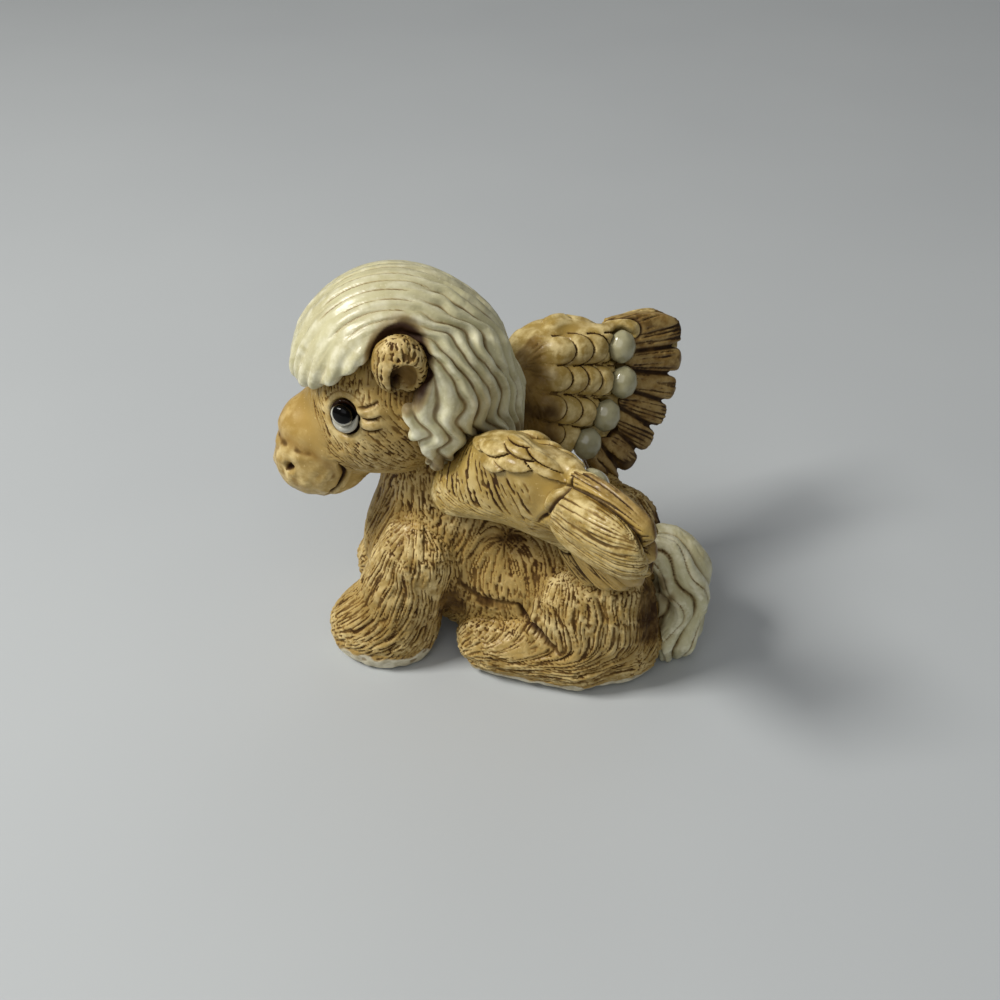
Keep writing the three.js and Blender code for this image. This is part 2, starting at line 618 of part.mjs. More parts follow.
// Tail
function tailSolid() {
  const line = new THREE.CatmullRomCurve3(TAIL_LINE);
  const rings = [];
  for (let step = 0; step <= TAIL_STEPS; step++) {
    const share = step / TAIL_STEPS;
    const at = line.getPoint(share);
    const along = line.getTangent(share);
    const side = V(0, 1, 0).addScaledVector(along, -along.y).normalize();
    const front = side.clone().cross(along);
    const place = share * (TAIL_RADII.length - 1);
    const knot = Math.min(Math.floor(place), TAIL_RADII.length - 2);
    const radius = THREE.MathUtils.lerp(TAIL_RADII[knot], TAIL_RADII[knot + 1], place - knot);
    const swing = degrees(TAIL_TWIST / TAIL_STRANDS) * Math.sin(2 * Math.PI * share * TAIL_SWINGS);
    const ring = [];
    for (let k = 0; k < TAIL_SIDES; k++) {
      const crest = Math.cos((2 * Math.PI * k * TAIL_STRANDS) / TAIL_SIDES);
      const round = (2 * Math.PI * k) / TAIL_SIDES + swing;
      const out = radius + TAIL_STRAND_HEIGHT * crest;
      ring.push(
        at.clone()
          .addScaledVector(side, out * TAIL_WIDTH * Math.cos(round))
          .addScaledVector(front, out * Math.sin(round)),
      );
    }
    rings.push(ring);
  }
  return skinOver(rings, TAIL_LINE[0], TAIL_LINE[TAIL_LINE.length - 1]);
}

const tailPegFrom = TAIL_LINE[2];
const tailPegLength = tailPegFrom.distanceTo(RUMP.at) - RUMP.radius + PEG_DEPTH;
const tailPeg = (grow = 0) => peg(tailPegFrom, RUMP.at.clone().sub(tailPegFrom), tailPegLength, grow);
const tailLock = standingOn(SOLE_LEVEL, tailSolid());
const tail = mainBody(without(tailLock, [...bodyClearance, ...bothSides(hindWrap(SEAM))]).add(tailPeg()));

const armsClearance = bothSides(moved(armSolid(SEAM), wingMatrix));
const mane = mainBody(
  without(maneSolid().intersect(maneOutline()), [
    headSolid(SEAM),
    ...bothSides(earShape(SEAM)),
    ...bothSides(earNotch),
    ...[...bodyClearance, ...armsClearance].map((solid) => moved(solid, toHead)),
  ]),
);

const wingPegInBody = moved(wingPeg(SEAM), wingMatrix);
const body = mainBody(
  without(bodySolid(), [
    moved(headSolid(SEAM), headMatrix),
    moved(headPeg(SEAM), headMatrix),
    tailPeg(SEAM),
    ...bothSides(wingPegInBody),
  ]),
);

// Assembly
function piece(name, solid, material) {
  const mesh = new THREE.Mesh(geometryOf(solid), material);
  mesh.name = name;
  return mesh;
}

function framed(matrix, ...children) {
  const group = new THREE.Group();
  matrix.decompose(group.position, group.quaternion, group.scale);
  group.add(...children.flat());
  return group;
}

const wingPieces = (side) => [
  piece(`${side}_wing_arm`, wing.arm, feather),
  piece(`${side}_wing_coverts`, wing.coverts, feather),
  wing.primaries.map((solid, index) => piece(`${side}_primary_feather_${index + 1}`, solid, feather)),
  wing.pearls.map((solid, index) => piece(`${side}_pearl_feather_${index + 1}`, solid, pearlGlaze)),
];

const sidePieces = (side) => [
  piece(`${side}_foreleg`, legAbove(rightForeleg, FORE_HOOF_HEIGHT), coat),
  piece(`${side}_fore_hoof`, hoofOf(rightForeleg, FORE_HOOF_HEIGHT), hoofCream),
  piece(`${side}_hind_leg`, legAbove(rightHindLeg, HIND_HOOF_HEIGHT), coat),
  piece(`${side}_hind_hoof`, hoofOf(rightHindLeg, HIND_HOOF_HEIGHT), hoofCream),
  framed(wingMatrix, wingPieces(side).flat()),
];

const headSide = (side) => [
  piece(`${side}_ear`, ear, coat),
  piece(`${side}_eyeball`, without(eyeball(), [iris(SEAM)]), eyeWhite),
  piece(`${side}_iris`, iris(), eyeBlack),
];

const foal = new THREE.Group();
foal.add(
  piece("body", body, coat),
  piece("tail", tail, cream),
  framed(
    headMatrix,
    piece("head", head, coat),
    piece("mane", mane, cream),
    framed(new THREE.Matrix4(), headSide("right")),
    framed(mirrorY, headSide("left")),
  ),
  framed(new THREE.Matrix4(), sidePieces("right")),
  framed(mirrorY, sidePieces("left")),
);

export default foal;
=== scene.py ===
"""Looks of a small cast winged foal: one painted skin over the CAD solids, combed and washed in mesh code."""
import math

import bpy
import numpy as np
import openvdb as vdb
from mathutils import Matrix, Vector
from mathutils.kdtree import KDTree


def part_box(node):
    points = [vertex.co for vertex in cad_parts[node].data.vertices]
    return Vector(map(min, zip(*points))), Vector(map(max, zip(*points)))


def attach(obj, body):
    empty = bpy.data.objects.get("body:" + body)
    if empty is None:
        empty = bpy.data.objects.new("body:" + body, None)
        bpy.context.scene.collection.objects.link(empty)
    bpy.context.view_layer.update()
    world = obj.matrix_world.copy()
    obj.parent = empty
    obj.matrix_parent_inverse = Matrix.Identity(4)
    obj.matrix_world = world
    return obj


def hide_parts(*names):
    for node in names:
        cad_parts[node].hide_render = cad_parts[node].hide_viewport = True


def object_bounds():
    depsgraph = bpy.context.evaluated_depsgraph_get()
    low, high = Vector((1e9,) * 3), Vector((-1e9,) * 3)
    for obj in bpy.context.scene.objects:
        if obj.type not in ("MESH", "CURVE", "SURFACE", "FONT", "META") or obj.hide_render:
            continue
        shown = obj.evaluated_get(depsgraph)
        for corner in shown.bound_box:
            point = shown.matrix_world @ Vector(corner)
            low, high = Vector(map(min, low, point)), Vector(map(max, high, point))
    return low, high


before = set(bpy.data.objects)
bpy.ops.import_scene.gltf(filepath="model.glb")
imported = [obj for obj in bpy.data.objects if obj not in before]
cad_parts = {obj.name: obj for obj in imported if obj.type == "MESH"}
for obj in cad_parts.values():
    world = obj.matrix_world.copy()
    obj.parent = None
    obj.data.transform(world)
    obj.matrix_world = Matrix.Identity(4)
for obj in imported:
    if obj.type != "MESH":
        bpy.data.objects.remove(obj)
cad_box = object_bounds()

MM = 0.001

# Camera and light

CAMERA_AT = (0.02186, -0.1104, 0.10112)
CAMERA_AZIMUTH = 10.0
CAMERA_PITCH = 36.5
CAMERA_LENS = 46.08
CAMERA_SENSOR = 36.0

camera = bpy.data.objects.new("camera", bpy.data.cameras.new("camera"))
camera.data.sensor_width = CAMERA_SENSOR
camera.data.lens = CAMERA_LENS
camera.data.clip_start = 0.005
camera.location = CAMERA_AT
camera.rotation_euler = (math.radians(90 - CAMERA_PITCH), 0, math.radians(CAMERA_AZIMUTH))
bpy.context.scene.collection.objects.link(camera)
bpy.context.scene.camera = camera
bpy.context.scene.view_settings.view_transform = "Standard"

LIT = (0, 0, 0.02)  # the point that the lamps face


def lamp(name, place, size, watts, colour):
    """A soft square lamp. Place and size in metres."""
    data = bpy.data.lights.new(name, "AREA")
    data.size = size
    data.energy = watts
    data.color = colour
    obj = bpy.data.objects.new(name, data)
    obj.location = place
    obj.rotation_euler = (Vector(LIT) - Vector(place)).to_track_quat("-Z", "Y").to_euler()
    bpy.context.scene.collection.objects.link(obj)


lamp("key", (-0.28, -0.15, 0.37), 0.14, 1.85, (1.0, 0.98, 0.94))
lamp("fill", (0.0, -0.36, 0.42), 0.40, 0.6, (0.95, 0.97, 1.0))
lamp("rim", (0.05, 0.40, 0.34), 0.30, 0.14, (1.0, 1.0, 1.0))

SKY_COLOUR = (0.90, 0.90, 0.90, 1)
SKY_STRENGTH = 0.17
world = bpy.data.worlds.new("studio")
bpy.context.scene.world = world
world.use_nodes = True
sky = world.node_tree.nodes["Background"].inputs
sky["Color"].default_value = SKY_COLOUR
sky["Strength"].default_value = SKY_STRENGTH


# Frames of the head and wings, as in the CAD

# Millimetres and degrees
HEAD_AT = np.array([-8.3, -2.6, 33.2])
HEAD_TURN = 14.0
WING_HUB = np.array([5.0, 8.6, 31.0])
WING_FLARE = 36.9
WING_LEAN = 18.0

SIDES = ("left", "right")
ON_RIGHT = {"left": (1, -1, 1), "right": (1, 1, 1)}  # mirrors a side's points onto the right one
ON_LEFT = {"left": (1, 1, 1), "right": (1, -1, 1)}


def turn(axis, degrees):
    return np.array(Matrix.Rotation(math.radians(degrees), 3, axis))


HEAD_AXES = turn("Z", HEAD_TURN)
WING_AXES = turn("Z", WING_FLARE) @ turn("X", -WING_LEAN)


def in_head(points):
    """Points of the row frame, in the head's frame: it faces -X."""
    return (points - HEAD_AT) @ HEAD_AXES


def from_head(q):
    return q @ HEAD_AXES.T + HEAD_AT


def in_cheek(points):
    """Points in the head's frame, those of its right half mirrored onto the left one."""
    q = in_head(points)
    q[:, 1] = -np.abs(q[:, 1])
    return q


def in_wing(points, side):
    """Points in a wing's frame: X back along its top edge, Y out of its outer face."""
    return (points * ON_RIGHT[side] - WING_HUB) @ WING_AXES


# Distance fields

CELL = 0.2  # spacing of the skin's samples, in millimetres
BAND = 11  # samples on each side of a surface
ROOM = 0.4  # kept free around the band, in millimetres
FAR = 3.0  # distance given to samples that no node reaches
LAST = 1.001  # keeps a place before a field's last sample
LEAST_SLOPE = 0.2  # squared, keeps steps onto a surface short


def solid(node):
    """Corners in millimetres and triangles of a CAD node."""
    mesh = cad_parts[node].data
    mesh.calc_loop_triangles()
    points = np.empty(3 * len(mesh.vertices), np.float32)
    mesh.vertices.foreach_get("co", points)
    triangles = np.empty(3 * len(mesh.loop_triangles), np.int32)
    mesh.loop_triangles.foreach_get("vertices", triangles)
    return points.reshape(-1, 3) / MM, triangles.reshape(-1, 3).astype(np.uint32)


def soften(field, sigma):
    """The field blurred by sigma samples."""
    reach = max(int(2.5 * sigma + 0.5), 1)
    weights = np.exp(-0.5 * (np.arange(-reach, reach + 1) / sigma) ** 2)
    weights = (weights / weights.sum()).astype(np.float32)
    for axis in range(3):
        padded = np.pad(field, [(reach, reach) if a == axis else (0, 0) for a in range(3)], mode="edge")
        length = field.shape[axis]
        total = np.zeros_like(field)
        for step, weight in enumerate(weights):
            part = [slice(None)] * 3
            part[axis] = slice(step, step + length)
            total += weight * padded[tuple(part)]
        field = total
    return field


def smooth(value, low, high):
    """0 below low, 1 above high, and an S between them."""
    share = np.clip((value - low) / (high - low), 0, 1)
    return share * share * (3 - 2 * share)


def bell(value, width):
    """1 where the value is 0, falling off softly over the width."""
    return np.exp(-((value / width) ** 2))


def unit(v):
    return np.array(v) / np.linalg.norm(v)


def lengths(vectors):
    return np.linalg.norm(vectors, axis=1)


def units(vectors):
    return vectors / np.maximum(lengths(vectors), 1e-6)[:, None]


def blend(v, base, above, share):
    """The eight samples around each place, blended by its share of the way between them."""
    (i, j, k), (l, m, n), (x, y, z) = base, above, share
    near = (v[i, j, k] * (1 - x) + v[l, j, k] * x) * (1 - y) + (v[i, m, k] * (1 - x) + v[l, m, k] * x) * y
    far = (v[i, j, n] * (1 - x) + v[l, j, n] * x) * (1 - y) + (v[i, m, n] * (1 - x) + v[l, m, n] * x) * y
    return near * (1 - z) + far * z


class Field:
    """Samples of a distance on a regular grid: low is the first sample's index, cell the spacing."""

    def __init__(self, values, low, cell):
        self.values = values
        self.low = np.asarray(low)
        self.cell = cell

    def at(self, points):
        place = points / self.cell - self.low
        place = np.clip(place, 0, np.array(self.values.shape) - LAST)
        base = place.astype(np.int32)
        return blend(self.values, base.T, (base + 1).T, (place - base).T)

    def slope(self, points):
        step = 0.75 * self.cell
        steps = [self.at(points + step * axis) - self.at(points - step * axis) for axis in np.eye(3)]
        return np.stack([rise / (2 * step) for rise in steps], axis=1)

    def normal(self, points):
        return units(self.slope(points))

    def settle(self, points, turns=2):
        """Points moved onto the field's surface."""
        for _ in range(turns):
            slope = self.slope(points)
            rise = np.maximum((slope ** 2).sum(1), LEAST_SLOPE)
            points = points - slope * (self.at(points) / rise)[:, None]
        return points

    def finer(self, cell):
        """The same field at a smaller spacing."""
        values = self.values
        low = np.ceil(self.low * self.cell / cell).astype(int)
        for axis in range(3):
            count = int((self.values.shape[axis] - 1) * self.cell / cell) - 1
            place = (low[axis] + np.arange(count)) * cell / self.cell - self.low[axis]
            place = np.clip(place, 0, values.shape[axis] - LAST)
            base = place.astype(int)
            share = (place - base).astype(np.float32).reshape([-1 if a == axis else 1 for a in range(3)])
            values = np.take(values, base, axis) * (1 - share) + np.take(values, base + 1, axis) * share
        return Field(values, low, cell)


def voxels(cell):
    return vdb.createLinearTransform(voxelSize=cell)


def corner(low):
    """A field's first index, as openvdb takes it."""
    return tuple(int(v) for v in low)


def distance_to(node, cell, blur):
    """Distance from a CAD node, with its facets blurred by so many millimetres."""
    box = np.array(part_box(node)) / MM
    margin = BAND * cell + ROOM
    low = np.floor((box[0] - margin) / cell).astype(int)
    shape = np.ceil((box[1] + margin) / cell).astype(int) - low + 1
    points, triangles = solid(node)
    grid = vdb.FloatGrid.createLevelSetFromPolygons(
        points, triangles=triangles, transform=voxels(cell), halfWidth=BAND
    )
    values = np.empty(shape, np.float32)
    grid.copyToArray(values, ijk=corner(low))
    return Field(soften(values, blur / cell), low, cell)


LIMBS = ("foreleg", "fore_hoof", "hind_leg", "hind_hoof", "ear")
FEATHERS = range(1, 8)
PEARLS = range(1, 5)
WING_PARTS = ["wing_arm", "wing_coverts"] + [f"primary_feather_{n}" for n in FEATHERS]


def both(parts):
    """The nodes with these names on both sides, the left ones first."""
    return [f"{side}_{part}" for side in SIDES for part in parts]


SKIN_NODES = ["body", "head"] + both(LIMBS) + ["mane", "tail"] + both(WING_PARTS)

# By the first of these words in a node's name, else "usual", in millimetres: how far its facets are blurred,
# how far it swells, how softly it joins its neighbours, and its mesh's spacing
BLUR = {"wing_arm": 0.45, "coverts": 0.4, "primary": 0.2, "mane": 0.55, "tail": 0.3, "ear": 0.35,
        "hoof": 0.35, "head": 0.5, "usual": 0.45}
SWELL = {"primary": 0.12, "usual": 0.0}
JOINT = {"coverts": 0.9, "primary": 0.95, "wing": 1.0, "mane": 0.7, "tail": 0.8, "ear": 0.5, "usual": 1.1}
SPACING = {"body": 0.17, "mane": 0.14, "tail": 0.14, "ear": 0.12, "wing_arm": 0.12, "coverts": 0.13,
           "primary": 0.13, "usual": 0.15}
NOBODYS = 255  # marks samples that belong to no node
NOBODYS_JOINT = 0.8
BROAD_BLUR = 0.7  # of the form against which hollows are measured


def setting(table, node):
    return next((value for word, value in table.items() if word in node), table["usual"])


def least(first, second, softness):
    """The lesser of two distances, joined softly where they are about the same."""
    near = np.maximum(softness - (second - first), 0)
    return first - near * near / (4 * softness)


class Skin:
    """All the cast nodes joined into one skin, and each node's own share of it."""

    def __init__(self, nodes):
        low, high = (np.array(end) / MM for end in cad_box)
        margin = BAND * CELL + ROOM
        self.low = np.floor((low - margin) / CELL).astype(int) - 2
        shape = np.ceil((high + margin) / CELL).astype(int) - self.low + 3
        self.first = np.full(shape, FAR, np.float32)
        self.second = np.full(shape, FAR, np.float32)
        self.owner = np.full(shape, NOBODYS, np.uint8)
        self.other = np.full(shape, NOBODYS, np.uint8)
        self.nodes = nodes
        self.fields = {}
        for index, node in enumerate(nodes):
            field = distance_to(node, CELL, setting(BLUR, node))
            field.values -= setting(SWELL, node)
            self.fields[node] = field
            window = self.window(field)
            first, second = self.first[window], self.second[window]
            owner, other = self.owner[window], self.other[window]
            d = field.values
            nearest = d < first
            next_nearest = ~nearest & (d < second)
            other[:] = np.where(nearest, owner, np.where(next_nearest, index, other))
            second[:] = np.where(nearest, first, np.where(next_nearest, d, second))
            owner[:] = np.where(nearest, index, owner)
            first[:] = np.where(nearest, d, first)
        softness = np.full(NOBODYS + 1, NOBODYS_JOINT, np.float32)
        softness[:len(nodes)] = [setting(JOINT, node) for node in nodes]
        softness = np.minimum(softness[self.owner], softness[self.other])
        self.joined = Field(least(self.first, self.second, softness), self.low, CELL)
        self.broad = Field(soften(self.joined.values, BROAD_BLUR / CELL), self.low, CELL)

    def window(self, field):
        start = field.low - self.low
        return tuple(slice(a, a + n) for a, n in zip(start, field.values.shape))

    def share(self, node):
        """On the node's window: distance to the joined skin, and how far points lie outside its share."""
        field = self.fields[node]
        window = self.window(field)
        mine = self.owner[window] == self.nodes.index(node)
        rest = np.where(mine, self.second[window], self.first[window])
        joined, outside = self.joined.values[window], (field.values - rest) / 2
        return Field(joined, field.low, CELL), Field(outside, field.low, CELL)


LAP = 0.35  # how far a piece runs on under its neighbour, in millimetres
SINK = 0.6  # how steeply it dives there


def quads_of(field):
    """Corners and quads of a field's surface, pointing outwards."""
    grid = vdb.FloatGrid(3 * field.cell)
    grid.copyFromArray(np.ascontiguousarray(field.values), ijk=corner(field.low))
    grid.transform = voxels(field.cell)
    points, quads = grid.convertToQuads(isovalue=0.0)
    points = points.astype(np.float64)
    quads = quads.astype(np.int64)
    a, b, c = points[quads[:, 0]], points[quads[:, 1]], points[quads[:, 2]]
    if np.einsum("ij,ij->i", a, np.cross(b, c)).sum() < 0:
        quads = quads[:, ::-1]
    return field.settle(points), quads


def skin_mesh(node):
    """Corners and quads of a node's own share of the skin."""
    joined, outside = (field.finer(setting(SPACING, node)) for field in skin.share(node))
    values = np.maximum(joined.values + SINK * np.maximum(outside.values, 0), outside.values - LAP)
    return quads_of(Field(values, joined.low, joined.cell))


def build_object(name, points, quads, attributes, material, nodes):
    """A closed smooth mesh piece from millimetre corners, riding on the root body."""
    mesh = bpy.data.meshes.new(name)
    mesh.vertices.add(len(points))
    mesh.vertices.foreach_set("co", (points * MM).astype(np.float32).ravel())
    mesh.loops.add(4 * len(quads))
    mesh.loops.foreach_set("vertex_index", quads.astype(np.int32).ravel())
    mesh.polygons.add(len(quads))
    mesh.polygons.foreach_set("loop_start", np.arange(0, 4 * len(quads), 4, dtype=np.int32))
    mesh.polygons.foreach_set("use_smooth", np.ones(len(quads), bool))
    mesh.update(calc_edges=True)
    for label, values in attributes.items():
        layer = mesh.attributes.new(label, "FLOAT", "POINT")
        layer.data.foreach_set("value", np.asarray(values, np.float32))
    obj = bpy.data.objects.new(name, mesh)
    bpy.context.scene.collection.objects.link(obj)
    mesh.materials.append(material)
    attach(obj, "root")
    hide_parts(*nodes)


# Carving: streaks that follow the lie of the hair, and single creases

class Grain:
    """Repeating solid noise whose waves are all about one unit long."""

    SIZE = 128
    PER_WAVE = 5.0  # samples to a wave
    SPREAD = 0.3  # how much the waves' lengths differ

    def __init__(self, seed):
        rng = np.random.default_rng(seed)
        spectrum = np.fft.rfftn(rng.standard_normal((self.SIZE,) * 3).astype(np.float32))
        whole, half = np.fft.fftfreq(self.SIZE), np.fft.rfftfreq(self.SIZE)
        beat = np.sqrt(whole[:, None, None] ** 2 + whole[None, :, None] ** 2 + half[None, None, :] ** 2)
        spectrum *= bell(beat * self.PER_WAVE - 1, self.SPREAD)
        values = np.fft.irfftn(spectrum, (self.SIZE,) * 3).astype(np.float32)
        self.values = values / values.std()

    def at(self, points):
        place = points * self.PER_WAVE
        base = np.floor(place).astype(np.int32)
        last = self.SIZE - 1
        return blend(self.values, (base & last).T, ((base + 1) & last).T, (place - base).T.astype(np.float32))


skin = Skin(SKIN_NODES)
grain = Grain(seed=7)

STRIDE = 0.35  # of a streak's pitch, from one sample along it to the next


def streaks(points, normals, flow, pitch, length, follow, offset):
    """Streaks of unit strength that run with the flow, about pitch apart and length long, in millimetres."""
    steps = max(int(length / 2 / (STRIDE * pitch)), 2)
    step = length / 2 / steps
    total = grain.at(points / pitch + offset)
    for sign in (1, -1):
        here, normal = points, normals
        for _ in range(steps):
            way = flow(here)
            way = units(way - normal * (way * normal).sum(1, keepdims=True))
            here = here + sign * step * way
            if follow:
                here = skin.joined.settle(here, 1)
                normal = skin.joined.normal(here)
            total = total + grain.at(here / pitch + offset)
    return total / max(total.std(), 1e-6)


ARMPIT = np.array([4.1, 6.2, 17.5])  # the pocket under each wing, from which the hair fans out
ARMPIT_REACH = 3.6


def body_flow(p):
    """Hair lies down and a little back, forwards over the chest and feet, and forwards along the shins."""
    x, y, z = p.T
    low = 1 - smooth(z, 3.5, 9)
    hind = smooth(x, -0.5, 4)
    rear = smooth(x, 14, 20)
    chest = 1 - smooth(x, -10.5, -6.0)
    ripple = 0.2 * np.sin(0.9 * x + 0.6 * z + 2 * np.sin(0.45 * z))
    forward = (1 - hind) * (-0.1 - 0.6 * low - 0.6 * chest) + hind * (0.1 - 1.6 * low - 0.3 * rear) + ripple
    down = -1 + 0.75 * low * hind + 0.3 * low * (1 - hind)
    way = np.stack([forward, 0 * y, down + low * hind * ripple], axis=1)
    away = (np.stack([x, np.abs(y), z], axis=1) - ARMPIT) * (1, 0.3, 1)
    reach = lengths(away)[:, None]
    fan = 0.7 * bell(reach, ARMPIT_REACH)
    return (1 - fan) * way + fan * 1.3 * away / np.maximum(reach, 0.3)


def head_flow(p):
    """Hair of the face runs down and back over the cheeks, and straight down the forehead."""
    x, y, z = in_head(p).T
    back = 0.95 - 0.85 * smooth(z, 0.5, 3.0) - 0.25 * smooth(x, -2.0, 2.0)
    way = np.stack([back, 0 * back, -np.ones(len(p))], axis=1)
    return way @ HEAD_AXES.T


MUZZLE_AT = np.array([-8.3, 0, -8.0])  # middles of the muzzle and of the nose's bridge, in the head's frame
BRIDGE_AT = np.array([-8.7, 0, -4.3])


def hairy(p):
    """1 where the face has hair, 0 on the muzzle and the bridge of the nose."""
    q = in_head(p)
    muzzle = smooth(lengths(q - MUZZLE_AT), 5.0, 5.9)
    bridge = smooth(lengths((q - BRIDGE_AT) / (1, 1.1, 1)), 3.9, 5.2)
    return muzzle * bridge


EAR_AXIS = (1.0, 6.5)  # where the ears' line crosses the head's side view
LOCK = 1.6  # from one lock to the next, in millimetres
LOCK_SWING = 6.0  # length of one wave of a lock, in millimetres
LOCK_FAN = 0.055  # how fast the hanging locks spread apart
LOCK_PHASE = 1.1  # lays the first swing forwards just below the ear
LOCK_TURN = 6.2  # radius at which the waves over the crown have the same length
MANE_WIDE = 9.5  # half width of the mane over the ears


def outline_of_mane():
    """How far the mane reaches from the ears' line in the head's middle plane, by the angle from the back."""
    angles = np.radians(np.arange(0, 181, 5))
    steps = np.arange(4, 13, 0.1)
    reaches = []
    for angle in angles:
        x, z = EAR_AXIS[0] + steps * math.cos(angle), EAR_AXIS[1] + steps * math.sin(angle)
        inside = skin.fields["mane"].at(from_head(np.stack([x, 0 * x, z], axis=1))) < 0
        reaches.append(steps[inside].max() if inside.any() else MANE_WIDE)
    return angles, np.convolve(np.pad(reaches, 2, mode="edge"), np.full(5, 0.2), mode="valid")


MANE_OUTLINE = outline_of_mane()


def mane_place(p):
    """Places in the combed mane: across its locks, along them, 1 over the neck, and in the head's frame."""
    q = in_head(p)
    x, z = q[:, 0] - EAR_AXIS[0], q[:, 2] - EAR_AXIS[1]
    low = np.minimum(z, 0)
    angle = np.arctan2(z - low, x)
    reach = np.hypot(x, z - low) * np.exp(LOCK_FAN * low) / np.interp(angle, *MANE_OUTLINE)
    across = MANE_WIDE * np.arctan2(np.abs(q[:, 1]) / MANE_WIDE, reach)
    along = -LOCK_TURN * angle - low
    return across, along, smooth(x - 0.35 * z, -2.5, 3.5), q


def lock_wave(across, along, back, q):
    """Across the locks again, but with their waves laid straight."""
    sway = (0.03 + back * (0.24 + 0.24 * smooth(along, -6.0, 2.5))) * smooth(across, 0.0, 2.0)
    unruly = 0.6 * grain.at(q / 9.0)
    return across + sway * np.sin(2 * math.pi * along / LOCK_SWING + 0.45 * across + LOCK_PHASE + unruly)


def mane_flow(p):
    """The direction along the locks: over the skin, where their place across them doesn't change."""
    def place(r):
        return lock_wave(*mane_place(r))

    step = 0.2
    slope = np.stack([place(p + step * axis) - place(p - step * axis) for axis in np.eye(3)], axis=1)
    return np.cross(skin.joined.normal(p), slope)


def lock_relief(turns):
    """Depth below the crests of round locks, from a place counted in locks: 0 on a crest, 1 in a valley."""
    share = np.abs(turns - np.round(turns)) * 2
    return 1 - np.sqrt(np.clip(1 - (1 - share) ** 2.0, 0, 1))


# Long cuts over the crown: millimetres from the mane's middle, and where each starts and ends, in degrees
# from the back
HAIRLINES = ((0.7, 60, 150), (1.9, 50, 160), (3.2, 70, 166), (4.5, 62, 150), (5.9, 72, 166), (7.3, 84, 158))
HAIRLINE_WIDTH = 0.13
HAIRLINE_FADE = 14  # degrees


def mane_locks(piece):
    """Soft locks in front, deep waving ones behind, long cuts over the crown, a dark ring at each ear."""
    p = piece.points
    across, along, back, q = mane_place(p)
    x, y, z = q.T
    value = lock_wave(across, along, back, q)
    drift = 0.12 * grain.at(p / 7.0) + 0.04 * grain.at(p / 2.5 + 9)
    valley = (0.5 + 0.5 * np.cos(2 * math.pi * (value / LOCK + 0.5 + drift))) ** 1.8
    split = lock_relief(value / LOCK * 2 + 1.5 * drift + 0.4)
    fringe = smooth(-x, 0.5, 4.0) * (1 - smooth(z, 4.0, 9.5))
    deep = 0.04 + 0.66 * back * (0.85 + 0.15 * np.tanh(2 * grain.at(p / 4.0 + 21))) + 0.4 * fringe
    # Wash in the valleys, heavier behind the ear where they are deeper: partly the brown wash, partly painted
    # shade on the mane's back
    dark = valley ** 2 * (0.08 + 0.55 * back + 0.3 * fringe)
    piece.carve(deep * (valley - 0.35) + 0.14 * deep * (split - 0.35), dark)
    angle = 180 - np.degrees(np.arctan2(z - EAR_AXIS[1], EAR_AXIS[0] - x))
    bend = 0.1 * grain.at(p / 11.0 + 3)
    for far, start, end in HAIRLINES:
        cut = bell(across - far + bend, HAIRLINE_WIDTH) * smooth(angle, start, start + HAIRLINE_FADE)
        cut = cut * (1 - smooth(angle, end - HAIRLINE_FADE, end))
        piece.carve(0.16 * cut, 0.62 * cut)
    tips = smooth(-z, -1.0, 5.0)
    piece.carve(0, 0.6 * tips * smooth(grain.at(p / 3.0) + 1.2 * tips, 0.2, 1.6))
    x, y, z = ear_place(p).T
    out = np.hypot(x / 3.1, z / 3.9)
    beside = np.abs(y) < 4.0
    ring = (1 - smooth(out, 0.9, 0.97 + 0.05 * (x > 0))) * beside * smooth(z, -3.6, -2.0)
    piece.carve(0, 0.6 * (1 - smooth(out, 0.95, 1.28)) * beside, ring)


# The tail's middle line and how its strands swing, as in the CAD
TAIL_LINE = ((17.6, 0, 13.4), (20.4, 0, 13.2), (22.6, 0.1, 10.4), (22.1, -0.2, 6.8), (22.3, -0.6, 3),
             (21.4, -1, 0))
TAIL_STRANDS = 6
TAIL_SWINGS = 2.2
TAIL_SWING = math.radians(100 / TAIL_STRANDS)
TAIL_WIDTH = 1.25  # times its depth
TAIL_STEPS = 90


def smooth_line(corners, count):
    """Points along a smooth line through the corners."""
    corners = np.array(corners)
    padded = np.concatenate([[2 * corners[0] - corners[1]], corners, [2 * corners[-1] - corners[-2]]])
    place = np.linspace(0, len(corners) - 1, count)
    base = np.minimum(place.astype(int), len(corners) - 2)
    t = (place - base)[:, None]
    a, b, c, d = (padded[base + k] for k in range(4))
    square, cube = (2 * a - 5 * b + 4 * c - d) * t ** 2, (3 * b - a - 3 * c + d) * t ** 3
    return 0.5 * (2 * b + (c - a) * t + square + cube)


TAIL_MIDDLE = smooth_line(TAIL_LINE, TAIL_STEPS)
TAIL_WAY = np.gradient(TAIL_MIDDLE, axis=0)


def tail_place(p):
    """Share along the tail, turn round it, distance from its middle, and the axes there."""
    index = np.argmin(((p[:, None, :] - TAIL_MIDDLE[None]) ** 2).sum(2), axis=1)
    way = units(TAIL_WAY[index])
    side = units(np.array([0, 1.0, 0]) - way * way[:, 1:2])
    front = np.cross(side, way)
    away = p - TAIL_MIDDLE[index]
    a, b = (away * side).sum(1) / TAIL_WIDTH, (away * front).sum(1)
    return index / (len(TAIL_MIDDLE) - 1), np.arctan2(b, a), np.hypot(a, b), way, side, front


def tail_flow(p):
    """The tail's locks hang in waves that swing together."""
    share, turned, reach, way, side, front = tail_place(p)
    length = lengths(TAIL_WAY).sum()
    rate = TAIL_SWING * 2 * math.pi * TAIL_SWINGS * np.cos(2 * math.pi * TAIL_SWINGS * share) / length
    around = side * (-np.sin(turned) * TAIL_WIDTH)[:, None] + front * np.cos(turned)[:, None]
    return way + around * (reach * rate)[:, None]


